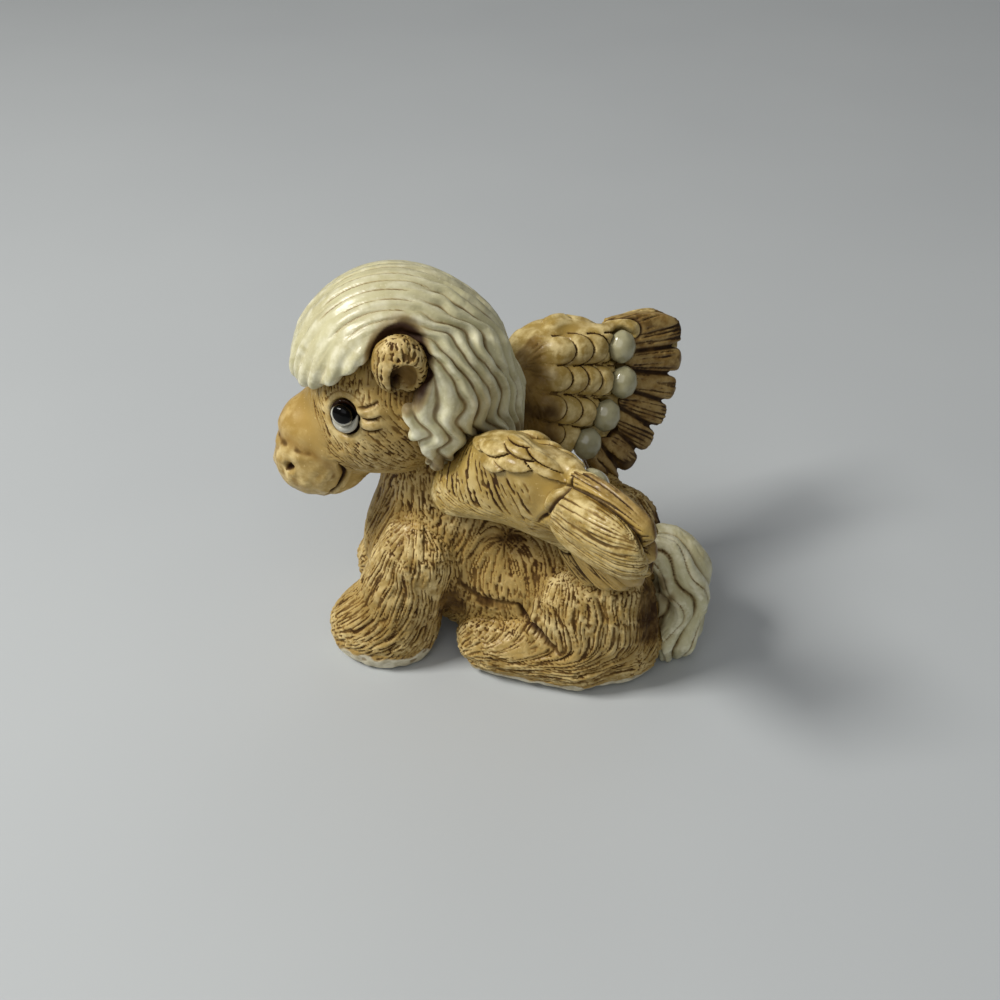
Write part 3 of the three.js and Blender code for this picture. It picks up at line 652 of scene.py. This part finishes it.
def tail_locks(piece):
    """Valleys between the tail's strands, and one down the middle of each."""
    share, turned = tail_place(piece.points)[:2]
    turned = turned - TAIL_SWING * np.sin(2 * math.pi * TAIL_SWINGS * share)
    turns = TAIL_STRANDS * turned / (2 * math.pi) + 0.5
    drift = 0.08 * grain.at(piece.points / 6.0)
    valley = lock_relief(turns + drift)
    split = lock_relief(2 * turns + 1.5 * drift)
    piece.carve(0.5 * (valley - 0.3) + 0.5 * (split - 0.4), np.maximum(valley, 0.85 * split) ** 1.3)


def vane_flow(side):
    """Vanes run out from the hub of the fan, and along the pad towards its tip."""
    def flow(p):
        x, y, z = in_wing(p, side).T
        way = np.stack([x + 3.0, 0 * y, 0.9 * z + 0.3 * np.sin(0.8 * x)], axis=1)
        return (way @ WING_AXES.T) * ON_RIGHT[side]
    return flow


def straight_flow(side, way):
    """Strokes of the arm, all in one direction of the wing's frame."""
    return lambda p: (np.tile(np.array(way), (len(p), 1)) @ WING_AXES.T) * ON_RIGHT[side]


class Creases:
    """Single carved lines, as points with a half width and a depth, in millimetres."""

    PER_CORNER = 40  # points
    EASING = 120  # turns that round the corners off

    def __init__(self):
        self.points, self.widths, self.depths, self.inks = [], [], [], []

    def line(self, corners, width, depth, fade, ink):
        """A soft crease along the corners, laid onto the skin. It fades over a share of its length."""
        dense = np.linspace(0, len(corners) - 1, self.PER_CORNER * len(corners))
        line = np.stack([np.interp(dense, np.arange(len(corners)), corners[:, a]) for a in range(3)], axis=1)
        for _ in range(self.EASING):
            line[1:-1] += 0.5 * ((line[:-2] + line[2:]) / 2 - line[1:-1])
        share = np.linspace(0, 1, len(line))
        taper = np.minimum(np.minimum(share, 1 - share) / fade, 1) ** 0.5
        self.points.append(skin.joined.settle(line))
        self.widths.append(width * (0.4 + 0.6 * taper))
        self.depths.append(depth * taper)
        self.inks.append(ink * taper)

    def cut(self, points):
        """Depth of the crease at each point, and how dark wash and ink lie in it."""
        lists = (self.points, self.widths, self.depths, self.inks)
        places, widths, depths, inks = (np.concatenate(v) for v in lists)
        tree = KDTree(len(places))
        for index, place in enumerate(places):
            tree.insert(place, index)
        tree.balance()
        found = [tree.find(point) for point in points]
        index = np.array([hit[1] for hit in found])
        away = np.array([hit[2] for hit in found]) / widths[index]
        share = bell(away, 1.0)
        puff = bell(away - 2.4, 1.0)
        ink = np.exp(-((away / 0.9) ** 4)) * inks[index]
        return (share - 0.18 * puff) * depths[index], share * 0.9, ink


# Creases of the left cheek, in the head's frame: mouth, nostril, and the folds beside the eye
MOUTH = [(-5.7, -4.6, -6.2), (-5.3, -3.9, -7.3), (-5.2, -3.9, -8.1), (-5.5, -3.8, -9.0), (-6.0, -3.7, -9.8),
         (-6.6, -3.5, -10.5), (-7.4, -2.4, -11.3)]
NOSTRIL = [(-11.2, -3.0, -7.8), (-10.8, -2.9, -7.5), (-10.4, -3.5, -7.0)]
EYE_FOLDS = (
    [(-3.1, -7.0, 1.95), (-2.5, -7.2, 1.9), (-1.8, -7.3, 2.2), (-1.1, -7.4, 2.7)],
    [(-2.9, -7.3, 0.85), (-2.3, -7.5, 0.7), (-1.6, -7.6, 0.9), (-0.9, -7.7, 1.3)],
    [(-3.2, -7.2, -0.35), (-2.4, -7.5, -0.65), (-1.6, -7.7, -0.5), (-0.9, -7.8, -0.1)],
)
# Folds of the body's left side, in the row frame
HAUNCH_FOLD = [(5.8, -8.2, 10.9), (6.4, -8.7, 9.3), (7.9, -9.7, 8.7), (9.3, -10.3, 7.7), (10.8, -10.7, 6.4)]
BELLY_FOLD = [(-0.9, -7.4, 12.8), (-0.1, -7.6, 11.6), (1.9, -8.0, 10.6), (4.2, -8.2, 10.5), (5.8, -8.2, 10.9)]
# The seam between the arm and the pad, in the wing's frame
PAD_SEAM = [(9.7, 0.6, 2.5), (9.7, 2.3, 1.8), (8.6, 3.5, 0.0), (7.4, 3.6, -1.8), (6.2, 3.5, -3.5)]


# The left eye, in the head's frame: where it is, the way it looks, and which way its back and top lie
EYE_AT = in_head(np.array(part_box("left_eyeball")).mean(0) / MM)
EYE_OUT = unit([-0.32, -0.88, 0.395])
EYE_SIDE = unit(np.cross([0, 0, 1.0], EYE_OUT))
EYE_UP = np.cross(EYE_OUT, EYE_SIDE)
# The painted line round it: the line's middle to the back and up, half width and half height, in millimetres
EYE_LINE = (0.08, -0.2, 1.7, 1.8)  # at its outer edge
EYE_WHITE = (0.19, -0.2, 1.31, 1.5)  # at its inner edge, on the eyeball
PUPIL = (0.36, 0.52, 1.08)  # middle to the back and up, and radius
EYE_FORWARD = 0.35  # how far the eyeball stands out of its CAD place
EYE_WIDER = 0.1  # and the share by which it is wider

# The left ear mirrored onto the right side, in the head's frame
EAR_AT = (1.0, 7.2, 6.5)
EAR_AXES = turn("X", -8.0)


def ear_place(points):
    """Points in the frame of the ear on their side: X to the back, Y out of the head, Z up."""
    return (in_cheek(points) * (1, -1, 1) - EAR_AT) @ EAR_AXES


def ear_flow(p):
    """Hair runs down the ear's front, and outwards over its back rim."""
    x, y, z = ear_place(p).T
    rim = smooth(x, 0.0, 1.3)
    reach = np.hypot(x, z)
    way = np.stack([rim * x / reach, 0 * rim, -(1 - rim) + rim * z / reach], axis=1)
    mirror = np.where(in_head(p)[:, 1:2] < 0, -1, 1)
    way = way @ EAR_AXES.T
    way[:, 1:2] *= mirror
    return way @ HEAD_AXES.T


def ear_relief(piece):
    """A smooth hollow under the ear's flap, with a dark slit down its front."""
    x, y, z = ear_place(piece.points).T
    outside = smooth(y, -0.9, -0.2)
    slit = bell(x + 0.35, 0.36) * smooth(z, -2.9, -1.9) * (1 - smooth(z, 0.2, 1.0)) * outside
    bowl = np.hypot((x - 0.75) / 1.35, (z + 0.55) / 1.9)
    inside = (1 - smooth(bowl, 0.75, 1.0)) * outside
    flap = bell(bowl - 1.12, 0.16) * smooth(z, -0.2, 0.9) * outside
    piece.carve(0.8 * slit + 0.45 * inside - 0.18 * flap, 0.55 * inside, slit ** 0.7)
    piece.soothe(np.maximum(inside, slit))


def nose_relief(piece):
    """The muzzle is a lumpy ball set off by a shallow groove, below a smooth reddish bridge."""
    q = in_head(piece.points)
    ball = lengths(q - MUZZLE_AT)
    groove = bell(ball - 4.95, 0.4) * (1 - smooth(q[:, 0], -6.5, -4.5)) * smooth(q[:, 2], -9.0, -7.0)
    muzzle = 1 - smooth(ball, 4.6, 5.3)
    lumps = grain.at(piece.points / 1.5 + 5)
    dark = 0.45 * groove + muzzle * 0.42 * smooth(-lumps, 0.2, 1.6)
    piece.carve(0.26 * groove - 0.06 * lumps * muzzle, dark)
    bridge = lengths((q - BRIDGE_AT) / (1, 1.15, 1))
    piece.tint = np.maximum(piece.tint, 0.5 * (1 - smooth(bridge, 2.8, 4.6)) * (1 - 0.7 * muzzle))


SHADE_POOLS = (  # places of the left side where painted shade lies, laid as dark wash: middle, reach, strength, depth of the dip
    ((4.3, -6.2, 17.8), (3.0, 2.5, 1.1), 0.6, 0.1),
    ((-2.0, -6.2, 8.6), (2.2, 3.0, 3.6), 1.0, 0.0),
    ((3.0, -8.0, 10.2), (3.4, 2.0, 0.8), 0.75, 0.1),
    ((20.5, -6.9, 10.9), (2.2, 3.2, 4.4), 1.5, 0.9),
)


def shade_pools(piece):
    """Painted shade in the pockets on both sides of the body, laid as dark wash, and as dark ink where it is
    strongest.
    """
    p = piece.points * (1, 0, 1) - np.abs(piece.points) * (0, 1, 0)
    patchy = 0.8 + 0.2 * np.tanh(grain.at(piece.points / 1.2))
    for middle, reach, strength, dip in SHADE_POOLS:
        share = np.exp(-((((p - middle) / reach) ** 2).sum(1)))
        dark = np.minimum(strength * 1.25 * share, 1) * patchy
        piece.carve(dip * share, dark, np.clip(strength - 1, 0, 1) * share ** 2)


def eye_socket(piece):
    """A raised lid above each eyeball, a fold over it, and a dark line all round the eye."""
    away = in_cheek(piece.points) - EYE_AT
    a = (away @ EYE_SIDE - EYE_LINE[0]) / EYE_LINE[2]
    b = (away @ EYE_UP - EYE_LINE[1]) / EYE_LINE[3]
    out = np.hypot(a, b)
    near = lengths(away) < 4.5
    edge = 0.99 - 0.09 * smooth(a, 0.1, 0.7) * smooth(-b, -0.2, 0.5) + 0.08 * smooth(-a, 0.2, 0.8)
    line = (1 - smooth(out, edge, edge + 0.07)) * near
    socket = (1 - smooth(out, 0.75, 0.98)) * smooth(a, -0.3, 0.5) * near
    lid = bell(out - 1.24, 0.15) * smooth(b, 0.1, 0.7) * near
    lower = bell(out - 1.25, 0.16) * smooth(-b, 0.2, 0.8) * near
    fold = bell(out - 1.5, 0.09) * smooth(b, 0.4, 0.9) * near
    piece.carve(0.06 * line + 0.55 * socket - 0.26 * lid - 0.12 * lower, 0.6 * fold, line)
    piece.soothe(near * (1 - smooth(out, 1.35, 1.6)))


def eye_folds(piece):
    """Puffed skin between the folds beside each eye."""
    q = in_cheek(piece.points)
    for fold, below in zip(EYE_FOLDS[:2], EYE_FOLDS[1:]):
        middle = (np.array(fold[1]) + np.array(below[1])) / 2
        away = (q - middle - (0.35, 0, 0.1)) / (1.3, 1.6, 0.52)
        puff = np.exp(-(away ** 2).sum(1))
        piece.carve(-0.38 * puff, 0)
        piece.soothe(np.minimum(1.6 * puff, 1))


face_creases, body_creases, wing_creases = Creases(), Creases(), Creases()
for side in SIDES:  # half width, depth, share of the length over which each end fades, darkness of the ink
    wing_creases.line((np.array(PAD_SEAM) @ WING_AXES.T + WING_HUB) * ON_RIGHT[side], 0.28, 0.5, 0.3, 0.75)
    face_creases.line(from_head(np.array(MOUTH) * ON_LEFT[side]), 0.24, 0.6, 0.16, 1.0)
    face_creases.line(from_head(np.array(NOSTRIL) * ON_LEFT[side]), 0.36, 0.7, 0.3, 1.0)
    for fold in EYE_FOLDS:
        face_creases.line(from_head(np.array(fold) * ON_LEFT[side]), 0.14, 0.35, 0.3, 0.6)
    body_creases.line(np.array(HAUNCH_FOLD) * ON_LEFT[side], 0.46, 0.8, 0.45, 0.75)
    # The belly fold's wash is partly painted shadow under the belly's edge
    body_creases.line(np.array(BELLY_FOLD) * ON_LEFT[side], 0.5, 0.24, 0.45, 0.0)


# Materials

def srgb(colour):
    """A socket's colour, from red, green and blue in 0 to 255 as they look on a screen."""
    parts = [part / 255 for part in colour]
    return tuple(part / 12.92 if part < 0.04045 else ((part + 0.055) / 1.055) ** 2.4 for part in parts) + (1,)


class Paint:
    """A node material built from noise and from the values that a mesh has at its points."""

    def __init__(self, name):
        self.material = bpy.data.materials.new(name)
        self.material.use_nodes = True
        self.tree = self.material.node_tree
        self.place = self.tree.nodes.new("ShaderNodeTexCoord").outputs["Object"]

    def feed(self, node, inputs):
        """Gives each input its link, its colour or its number."""
        for key, value in inputs.items():
            if isinstance(value, bpy.types.NodeSocket):
                self.tree.links.new(value, node.inputs[key])
            else:
                node.inputs[key].default_value = srgb(value) if isinstance(value, tuple) else value

    def node(self, kind, inputs, **settings):
        node = self.tree.nodes.new(kind)
        for key, value in settings.items():
            setattr(node, key, value)
        self.feed(node, inputs)
        return node

    def value(self, name):
        return self.node("ShaderNodeAttribute", {}, attribute_name=name).outputs["Fac"]

    def noise(self, size, detail=3.0):
        """Noise with features of about size millimetres, from 0 to 1."""
        inputs = {"Scale": 1 / (size * MM), "Detail": detail, "Roughness": 0.55, "Vector": self.place}
        return self.node("ShaderNodeTexNoise", inputs).outputs["Fac"]

    def ramp(self, source, low, high, to_low=0.0, to_high=1.0):
        inputs = {"Value": source, "From Min": low, "From Max": high, "To Min": to_low, "To Max": to_high}
        return self.node("ShaderNodeMapRange", inputs, interpolation_type="SMOOTHSTEP").outputs["Result"]

    def join(self, kind, a, b):
        inputs = {0: a, 1: b}
        return self.node("ShaderNodeMath", inputs, operation=kind, use_clamp=kind == "ADD").outputs["Value"]

    def mix(self, share, a, b):
        return self.node("ShaderNodeMix", {"Factor": share, 6: a, 7: b}, data_type="RGBA").outputs[2]

    def mottled(self, size, a, b):
        """Two tones in soft patches of about size millimetres."""
        return self.mix(self.ramp(self.noise(size), 0.3, 0.7), a, b)

    def bump(self, height, depth):
        return self.node("ShaderNodeBump", {"Distance": depth * MM, "Height": height}).outputs["Normal"]

    def shaded(self, inputs):
        self.feed(self.tree.nodes["Principled BSDF"], inputs)
        return self.material


# Dark brown of the painted lines and grooves, and of the strongest painted shade
GROOVE_INK_AND_SHADE = (46, 24, 6)


def painted(name, base, second, thin, deep, light, gloss, coat, tint=None):
    """Antique paint: two mottled tones, lighter crests for wear and painted highlight, a wash that also lays
    painted shade in hollows, amber where thin and dark in grooves, and varnish.
    """
    paint = Paint(name)
    tone = paint.mix(paint.ramp(paint.noise(5.0), 0.35, 0.65), base, second)
    # Lighter on crests: wear, and painted highlight
    crests = paint.ramp(paint.value("hollow"), 0.02, -0.12)
    tone = paint.mix(paint.join("MULTIPLY", crests, paint.ramp(paint.noise(1.2), 0.35, 0.7)), tone, light)
    speck = paint.ramp(paint.noise(0.35, 2), 0.62, 0.75, 0.0, 0.5)
    tone = paint.mix(speck, tone, light)
    if tint:
        tone = paint.mix(paint.value("tint"), tone, tint)
    # Darker in hollows: the wash that settles there, and painted shade
    hollow_wash_and_shade = paint.ramp(paint.value("hollow"), 0.05, 0.42, 0.0, 0.9)
    groove = paint.ramp(paint.value("wash"), 0.12, 0.85, 0.0, 0.92)
    patchy = paint.ramp(paint.noise(2.2), 0.25, 0.7, 0.55, 1.0)
    wash = paint.join("MAXIMUM", hollow_wash_and_shade, paint.join("MULTIPLY", groove, patchy))
    tone = paint.mix(paint.ramp(wash, 0.0, 0.5, 0.0, 0.7), tone, thin)
    tone = paint.mix(paint.ramp(wash, 0.15, 0.95), tone, deep)
    tone = paint.mix(paint.value("ink"), tone, GROOVE_INK_AND_SHADE)
    satin = paint.ramp(paint.noise(0.9), 0.3, 0.7, gloss - 0.08, gloss + 0.08)
    dull = paint.join("MAXIMUM", wash, paint.value("ink"))
    return paint.shaded({
        "Base Color": tone,
        "Roughness": paint.join("ADD", satin, paint.join("MULTIPLY", dull, 0.35)),
        "Coat Weight": paint.ramp(dull, 0.1, 0.6, coat, 0.0),
        "Coat Roughness": 0.22,
        "Specular IOR Level": 0.22,
        "Normal": paint.bump(paint.noise(0.22, 3), 0.03),
    })


coat_paint = painted(
    "coat_paint", base=(182, 152, 87), second=(157, 129, 68), thin=(146, 108, 44), deep=(64, 38, 3),
    light=(222, 198, 138), gloss=0.48, coat=0.18, tint=(176, 138, 60),
)
feather_paint = painted(
    "feather_paint", base=(180, 152, 82), second=(158, 130, 64), thin=(142, 106, 40), deep=(54, 30, 3),
    light=(222, 200, 140), gloss=0.4, coat=0.32,
)
quill_paint = painted(
    "quill_paint", base=(136, 104, 48), second=(108, 80, 34), thin=(92, 62, 22), deep=(34, 16, 2),
    light=(176, 148, 90), gloss=0.42, coat=0.25, tint=(184, 154, 82),
)
hair_paint = painted(
    "hair_paint", base=(210, 204, 162), second=(196, 188, 146), thin=(160, 134, 82), deep=(78, 52, 14),
    light=(232, 227, 196), gloss=0.32, coat=0.42,
)
hoof_paint = painted(
    "hoof_paint", base=(194, 184, 154), second=(170, 158, 126), thin=(140, 112, 66), deep=(76, 50, 18),
    light=(222, 214, 188), gloss=0.5, coat=0.18, tint=(172, 140, 76),
)


glaze = Paint("pearl_glaze")
tone = glaze.mottled(1.6, (178, 172, 136), (154, 148, 112))
pearl_paint = glaze.shaded(
    {"Base Color": tone, "Roughness": 0.25, "Coat Weight": 0.6, "Coat Roughness": 0.05}
)

enamel = Paint("eye_enamel")  # white, with a black pupil and a dark brown outline
tone = enamel.mottled(1.6, (214, 212, 200), (190, 187, 172))
tone = enamel.mix(enamel.value("pupil"), tone, (5, 4, 4))
tone = enamel.mix(enamel.value("ink"), tone, (34, 18, 8))
gloss = enamel.ramp(enamel.noise(0.8), 0.3, 0.7, 0.12, 0.2)
eye_paint = enamel.shaded({"Base Color": tone, "Roughness": gloss, "Specular IOR Level": 0.16})


# Pieces

SOLE = 0.3  # below this height, in millimetres, the underside is pressed flat against the floor


class Piece:
    """One node's share of the skin while it is carved. Each point's calm is 1 where streaks are left off."""

    def __init__(self, node):
        self.node = node
        self.points, self.quads = skin_mesh(node)
        self.normals = skin.joined.normal(self.points)
        self.hollow = -skin.broad.at(self.points)
        self.depth, self.wash, self.ink, self.tint, self.calm = np.zeros((5, len(self.points)))

    def carve(self, depth, wash, ink=0):
        """Lowers the surface, in millimetres, and lays a brown wash and dark ink on it, from 0 to 1; in
        places these stand for painted shade.
        """
        self.depth = self.depth + depth
        self.wash = np.maximum(self.wash, wash)
        self.ink = np.maximum(self.ink, ink)

    def soothe(self, share):
        self.calm = np.maximum(self.calm, share)

    def finish(self, material, slot):
        points = self.points - self.normals * self.depth[:, None]
        low = points[:, 2] < SOLE
        points[low, 2] = SOLE * np.exp(points[low, 2] / SOLE - 1)
        values = {"wash": self.wash, "hollow": self.hollow, "tint": self.tint, "ink": self.ink}
        build_object(f"{self.node}_skin", points, self.quads, values, material, [self.node])


CREST = 0.25  # share of a streak's depth by which the hair between streaks rises


def comb(pieces, flow, pitch, length, depth, narrow, wash=1.0, share=lambda p: 1, follow=False, offset=0.0):
    """Carves streaks into several pieces at once, so that they run on from one to the next."""
    points = np.concatenate([piece.points for piece in pieces])
    normals = np.concatenate([piece.normals for piece in pieces])
    value = streaks(points, normals, flow, pitch, length, follow, offset)
    groove = 1 - smooth(value, narrow[1], narrow[0])
    strength = (1 - np.concatenate([piece.calm for piece in pieces])) * share(points)
    deep, dark = (groove - CREST) * depth * strength, groove * wash * strength
    start = 0
    for piece in pieces:
        part = slice(start, start + len(piece.points))
        piece.carve(deep[part], dark[part])
        start = part.stop


body, head, mane, tail = (Piece(node) for node in ("body", "head", "mane", "tail"))
legs = [Piece(node) for node in both(("foreleg", "hind_leg"))]
hooves = [Piece(node) for node in both(("fore_hoof", "hind_hoof"))]
ears = [Piece(node) for node in both(("ear",))]
# Painted shade in the pockets of the body and legs
for piece in [body, tail] + legs:
    shade_pools(piece)
fur = [body] + legs + hooves
HAIR_OVER_HOOF = 0.9  # millimetres
for piece in hooves:
    height = piece.points[:, 2] - piece.points[:, 2].max()
    hair = smooth(height + HAIR_OVER_HOOF + 0.35 * grain.at(piece.points / 2.5), -0.15, 0.15)
    piece.tint = hair
    piece.soothe(1 - hair)
    lumps = grain.at(piece.points / 1.6)
    piece.carve(0.05 * lumps * (1 - hair), 0.5 * smooth(lumps, 0.6, 1.8) * (1 - hair))
comb(fur, body_flow, pitch=1.2, length=6, depth=0.16, wash=0.3, offset=17.0, narrow=(0.7, -1.3))
comb(fur, body_flow, pitch=0.35, length=4.5, depth=0.18, wash=0.8, narrow=(0.6, -1.0))
eye_socket(head)
eye_folds(head)
nose_relief(head)
comb([head], head_flow, pitch=0.34, length=4.5, depth=0.14, wash=0.78, share=hairy, narrow=(0.3, -1.0))
for piece in ears:
    ear_relief(piece)
comb(ears, ear_flow, pitch=0.5, length=2.6, depth=0.17, narrow=(0.1, -1.0))
mane_locks(mane)
comb([mane], mane_flow, pitch=0.6, length=6, depth=0.05, wash=0.3, offset=31.0, narrow=(-0.4, -1.5))
tail_locks(tail)
# Painted shade: the tail is washed darker towards its top, under the wing
tail.carve(0, 0.28 * smooth(tail.points[:, 2], 5.0, 12.0))
comb([tail], tail_flow, pitch=0.5, length=4, depth=0.06, wash=0.35, offset=31.0, narrow=(-0.4, -1.5))
head.carve(*face_creases.cut(head.points))
for piece in [body] + legs:
    piece.carve(*body_creases.cut(piece.points))

for piece in (body, head):
    piece.finish(coat_paint, "coat")
for piece in (mane, tail):
    piece.finish(hair_paint, "cream_hair")
for piece in legs + ears:
    piece.finish(coat_paint, "coat")
for piece in hooves:
    piece.finish(hoof_paint, "hoof")

# Wings: each row of feathers is drawn in the wing's frame, in which the CAD has it
# Rows of scales on the inner face, lowest first: X and Z of the first scale and of the pearl, and how many
SCALE_ROWS = (((-0.6, -7.8), (4.0, -10.3), 2), ((-0.4, -4.8), (6.8, -7.7), 4), ((0.8, -1.8), (9.4, -4.5), 5),
              ((1.8, 0.9), (9.7, -0.5), 4))
SCALE_SIZE = (1.95, 1.6)  # half length and half width
# Leaves on the outer face, lowest first: X, degrees round the arm, and degrees by which it climbs to its tip
LEAVES = ((1.7, 34, 20), (3.8, 48, 14), (-0.6, 50, 14), (1.3, 54, 16), (6.6, 62, 0), (3.9, 70, 4),
          (5.9, 80, -2), (3.2, 84, 6))
LEAF_SIZE = (2.15, 0.9)
LEAF_ROUND = 4.1  # radius of the arm under the leaves
LEAF_END = 9.2  # X at which the pad starts
TILE_LIFT = 0.42  # how high a feather's free edge stands
TILE_GAP = 0.2  # width of the dark line round it
TILE_GAP_DEPTH = 0.12


def lay_tiles(flat, tiles, size, pointed):
    """Height and wash of overlapping feathers, topmost last. A tile is a middle, a direction, a scale."""
    height, wash = np.zeros((2, len(flat)))
    for middle, along, scale in tiles:
        away = (flat - middle) / scale
        a = (away @ along) / size[0]
        b = (away @ np.array([-along[1], along[0]])) / size[1]
        if pointed:
            out = np.abs(b) + a * a * 0.98
            fall = -b  # a leaf's free edge is its lower one
        else:
            out = np.hypot(np.maximum(a, 0), b)
            fall = a  # a scale's free edge looks towards the pearl
        rim = (out >= 1) & (out < 1.0 + TILE_GAP / min(size)) & (fall > (-0.1 if pointed else -0.25))
        if pointed:
            rim &= np.abs(a) < 0.93
        wash[rim] = 1.0
        height[rim] = -TILE_GAP_DEPTH
        tile = (out < 1) & (a > -1)
        edge = TILE_LIFT * smooth(fall, -1.0, 0.8)
        round_off = 0.35 * TILE_LIFT * smooth(out, 0.82, 1.0) ** 3
        height[tile] = (edge + 0.05 * (1 - out ** 2) - round_off)[tile]
        wash[tile] = (0.25 * smooth(-fall, 0.3, 0.9))[tile]
    return height, wash


def facing(piece, side):
    """How much each point of a wing's piece faces outwards, from -1 to 1."""
    return (piece.normals * ON_RIGHT[side] @ WING_AXES)[:, 1]


def arm_relief(piece, side):
    """Rows of scales on an arm's inner face, and leaves on its outer one."""
    x, y, z = in_wing(piece.points, side).T
    outward = facing(piece, side)
    inner = smooth(-outward, 0.25, 0.6)
    tiles = []
    for first, last, count in SCALE_ROWS:
        first, last = np.array(first), np.array(last)
        for k in reversed(range(count)):
            tiles.append((first + (last - first) * k / count, unit(last - first), 1 - 0.1 * (k == 0)))
    height, wash = lay_tiles(np.stack([x, z], axis=1), tiles, SCALE_SIZE, False)
    # Painted shadow: the inner face is washed dark towards its root, where the mane shades the far wing
    root = (0.55 + 0.15 * smooth(-z, 1.0, 6.0)) * (smooth(-x, -2.5, 1.0) * inner)
    piece.carve(-height * inner, np.maximum(wash, root) * inner)
    over = smooth(outward, -0.25, 0.1) * (x < LEAF_END)
    flat = np.stack([x, np.arctan2(z, np.maximum(y, 0.05)) * LEAF_ROUND], axis=1)
    tiles = []
    for along, lift, tilt in LEAVES:
        tilt = math.radians(tilt)
        middle = np.array([along, math.radians(lift) * LEAF_ROUND])
        tiles.append((middle, np.array([math.cos(tilt), math.sin(tilt)]), 1.0))
    height, wash = lay_tiles(flat, tiles, LEAF_SIZE, True)
    piece.carve(-height * over, wash * over)


def region(p, side, name):
    """1 in a wing region: root before the scales, band under the leaves, fur below, pad past the seam."""
    x, y, z = in_wing(p, side).T
    if name == "root":
        return smooth(-x + 0.25 * z, -1.0, 0.5) * smooth(-y, -0.5, 0.5)
    if name == "band":
        share = smooth(y, 1.0, 2.0) * smooth(z, -4.5, -3.0) * (1 - smooth(z, 0.6, 1.6))
        return share * (1 - smooth(x, 5.0, 6.5))
    if name == "fur":
        return (1 - smooth(z + 0.25 * grain.at(p / 2.0), -3.6, -2.8)) * smooth(y, 0.0, 1.0)
    seam = np.array(PAD_SEAM[::-1])
    return smooth(x - np.interp(z, seam[:, 2], seam[:, 0]), -0.1, 0.3)


def part_feathers(piece):
    """A dark groove where a feather of the fan meets the next."""
    edge = bell(skin.share(piece.node)[1].at(piece.points), 0.22)
    piece.carve(0.22 * edge, 0.9 * edge)


def gild(piece, side):
    """The outer faces of the fan's feathers are as light as the pad."""
    low = 0.35 * (int(piece.node[-1]) >= 4)  # the lower feathers are darker
    piece.tint = (1 - low) * smooth(facing(piece, side), -0.2, 0.3)


for side in SIDES:
    arm, pad, *fan = (Piece(f"{side}_{part}") for part in WING_PARTS)
    arm_relief(arm, side)
    vanes = vane_flow(side)
    comb([arm], straight_flow(side, (0.45, 0, -1.0)), pitch=0.6, length=2.2, depth=0.16, narrow=(-0.15, -1.2),
         share=lambda p: region(p, side, "band"))
    comb([arm], straight_flow(side, (1.0, 0, -0.45)), pitch=0.4, length=4.0, depth=0.15, wash=0.6,
         narrow=(0.4, -1.0), share=lambda p: region(p, side, "fur"))
    comb([pad], vanes, pitch=0.42, length=6, depth=0.13, wash=0.62, follow=True, narrow=(0.5, -1.0),
         share=lambda p: region(p, side, "pad"))
    comb(fan, vanes, pitch=0.42, length=6, depth=0.14, wash=0.7, follow=True, narrow=(0.4, -1.1))
    comb([arm], vanes, pitch=0.45, length=2.5, depth=0.1, wash=0.6, narrow=(0.0, -1.3),
         share=lambda p: region(p, side, "root"))
    for piece in [arm, pad] + fan[:2]:
        piece.carve(*wing_creases.cut(piece.points))
    for piece in fan:
        part_feathers(piece)
        gild(piece, side)
    arm.finish(feather_paint, "feather")
    pad.finish(feather_paint, "feather")
    for piece in fan:
        piece.finish(quill_paint, "feather")


def eye_values(points):
    """Where the pupil and the outline are painted."""
    away = in_cheek(points) - EYE_AT
    a, b = away @ EYE_SIDE, away @ EYE_UP
    pupil = 1 - smooth(np.hypot(a - PUPIL[0], b - PUPIL[1]), PUPIL[2] - 0.04, PUPIL[2] + 0.04)
    out = np.hypot((a - EYE_WHITE[0]) / EYE_WHITE[2], (b - EYE_WHITE[1]) / EYE_WHITE[3])
    return {"pupil": pupil, "ink": smooth(out, 0.97, 1.03)}


def eye_piece(side, part, cell, blur):
    """An eyeball or iris, moved a little out of the head and made wider."""
    node = f"{side}_{part}"
    points, quads = quads_of(distance_to(node, cell, blur))
    wide = ((in_head(points) * ON_LEFT[side] - EYE_AT) @ EYE_SIDE)[:, None] * EYE_WIDER
    points = points + (EYE_OUT * EYE_FORWARD + EYE_SIDE * wide) * ON_LEFT[side] @ HEAD_AXES.T
    build_object(f"{node}_form", points, quads, eye_values(points), eye_paint, [node])


PEARL_SPACING = 0.1
PEARL_BLUR = 0.2
for side in SIDES:
    eye_piece(side, "eyeball", 0.07, 0.2)
    eye_piece(side, "iris", 0.06, 0.12)
    for number in PEARLS:
        node = f"{side}_pearl_feather_{number}"
        points, quads = quads_of(distance_to(node, PEARL_SPACING, PEARL_BLUR))
        build_object(f"{node}_form", points, quads, {}, pearl_paint, [node])


# Floor

FLOOR = 1.5  # half its width, in metres
floor_mesh = bpy.data.meshes.new("floor")
corners = [(-FLOOR, -FLOOR, 0), (FLOOR, -FLOOR, 0), (FLOOR, FLOOR, 0), (-FLOOR, FLOOR, 0)]
floor_mesh.from_pydata(corners, [], [(0, 1, 2, 3)])
floor = bpy.data.objects.new("floor", floor_mesh)
bpy.context.scene.collection.objects.link(floor)
card = Paint("floor_card")
card_tone = card.mix(card.noise(60.0, 2), (196, 200, 201), (188, 192, 194))
floor_mesh.materials.append(card.shaded({"Base Color": card_tone, "Roughness": 0.8}))

bpy.context.view_layer.update()
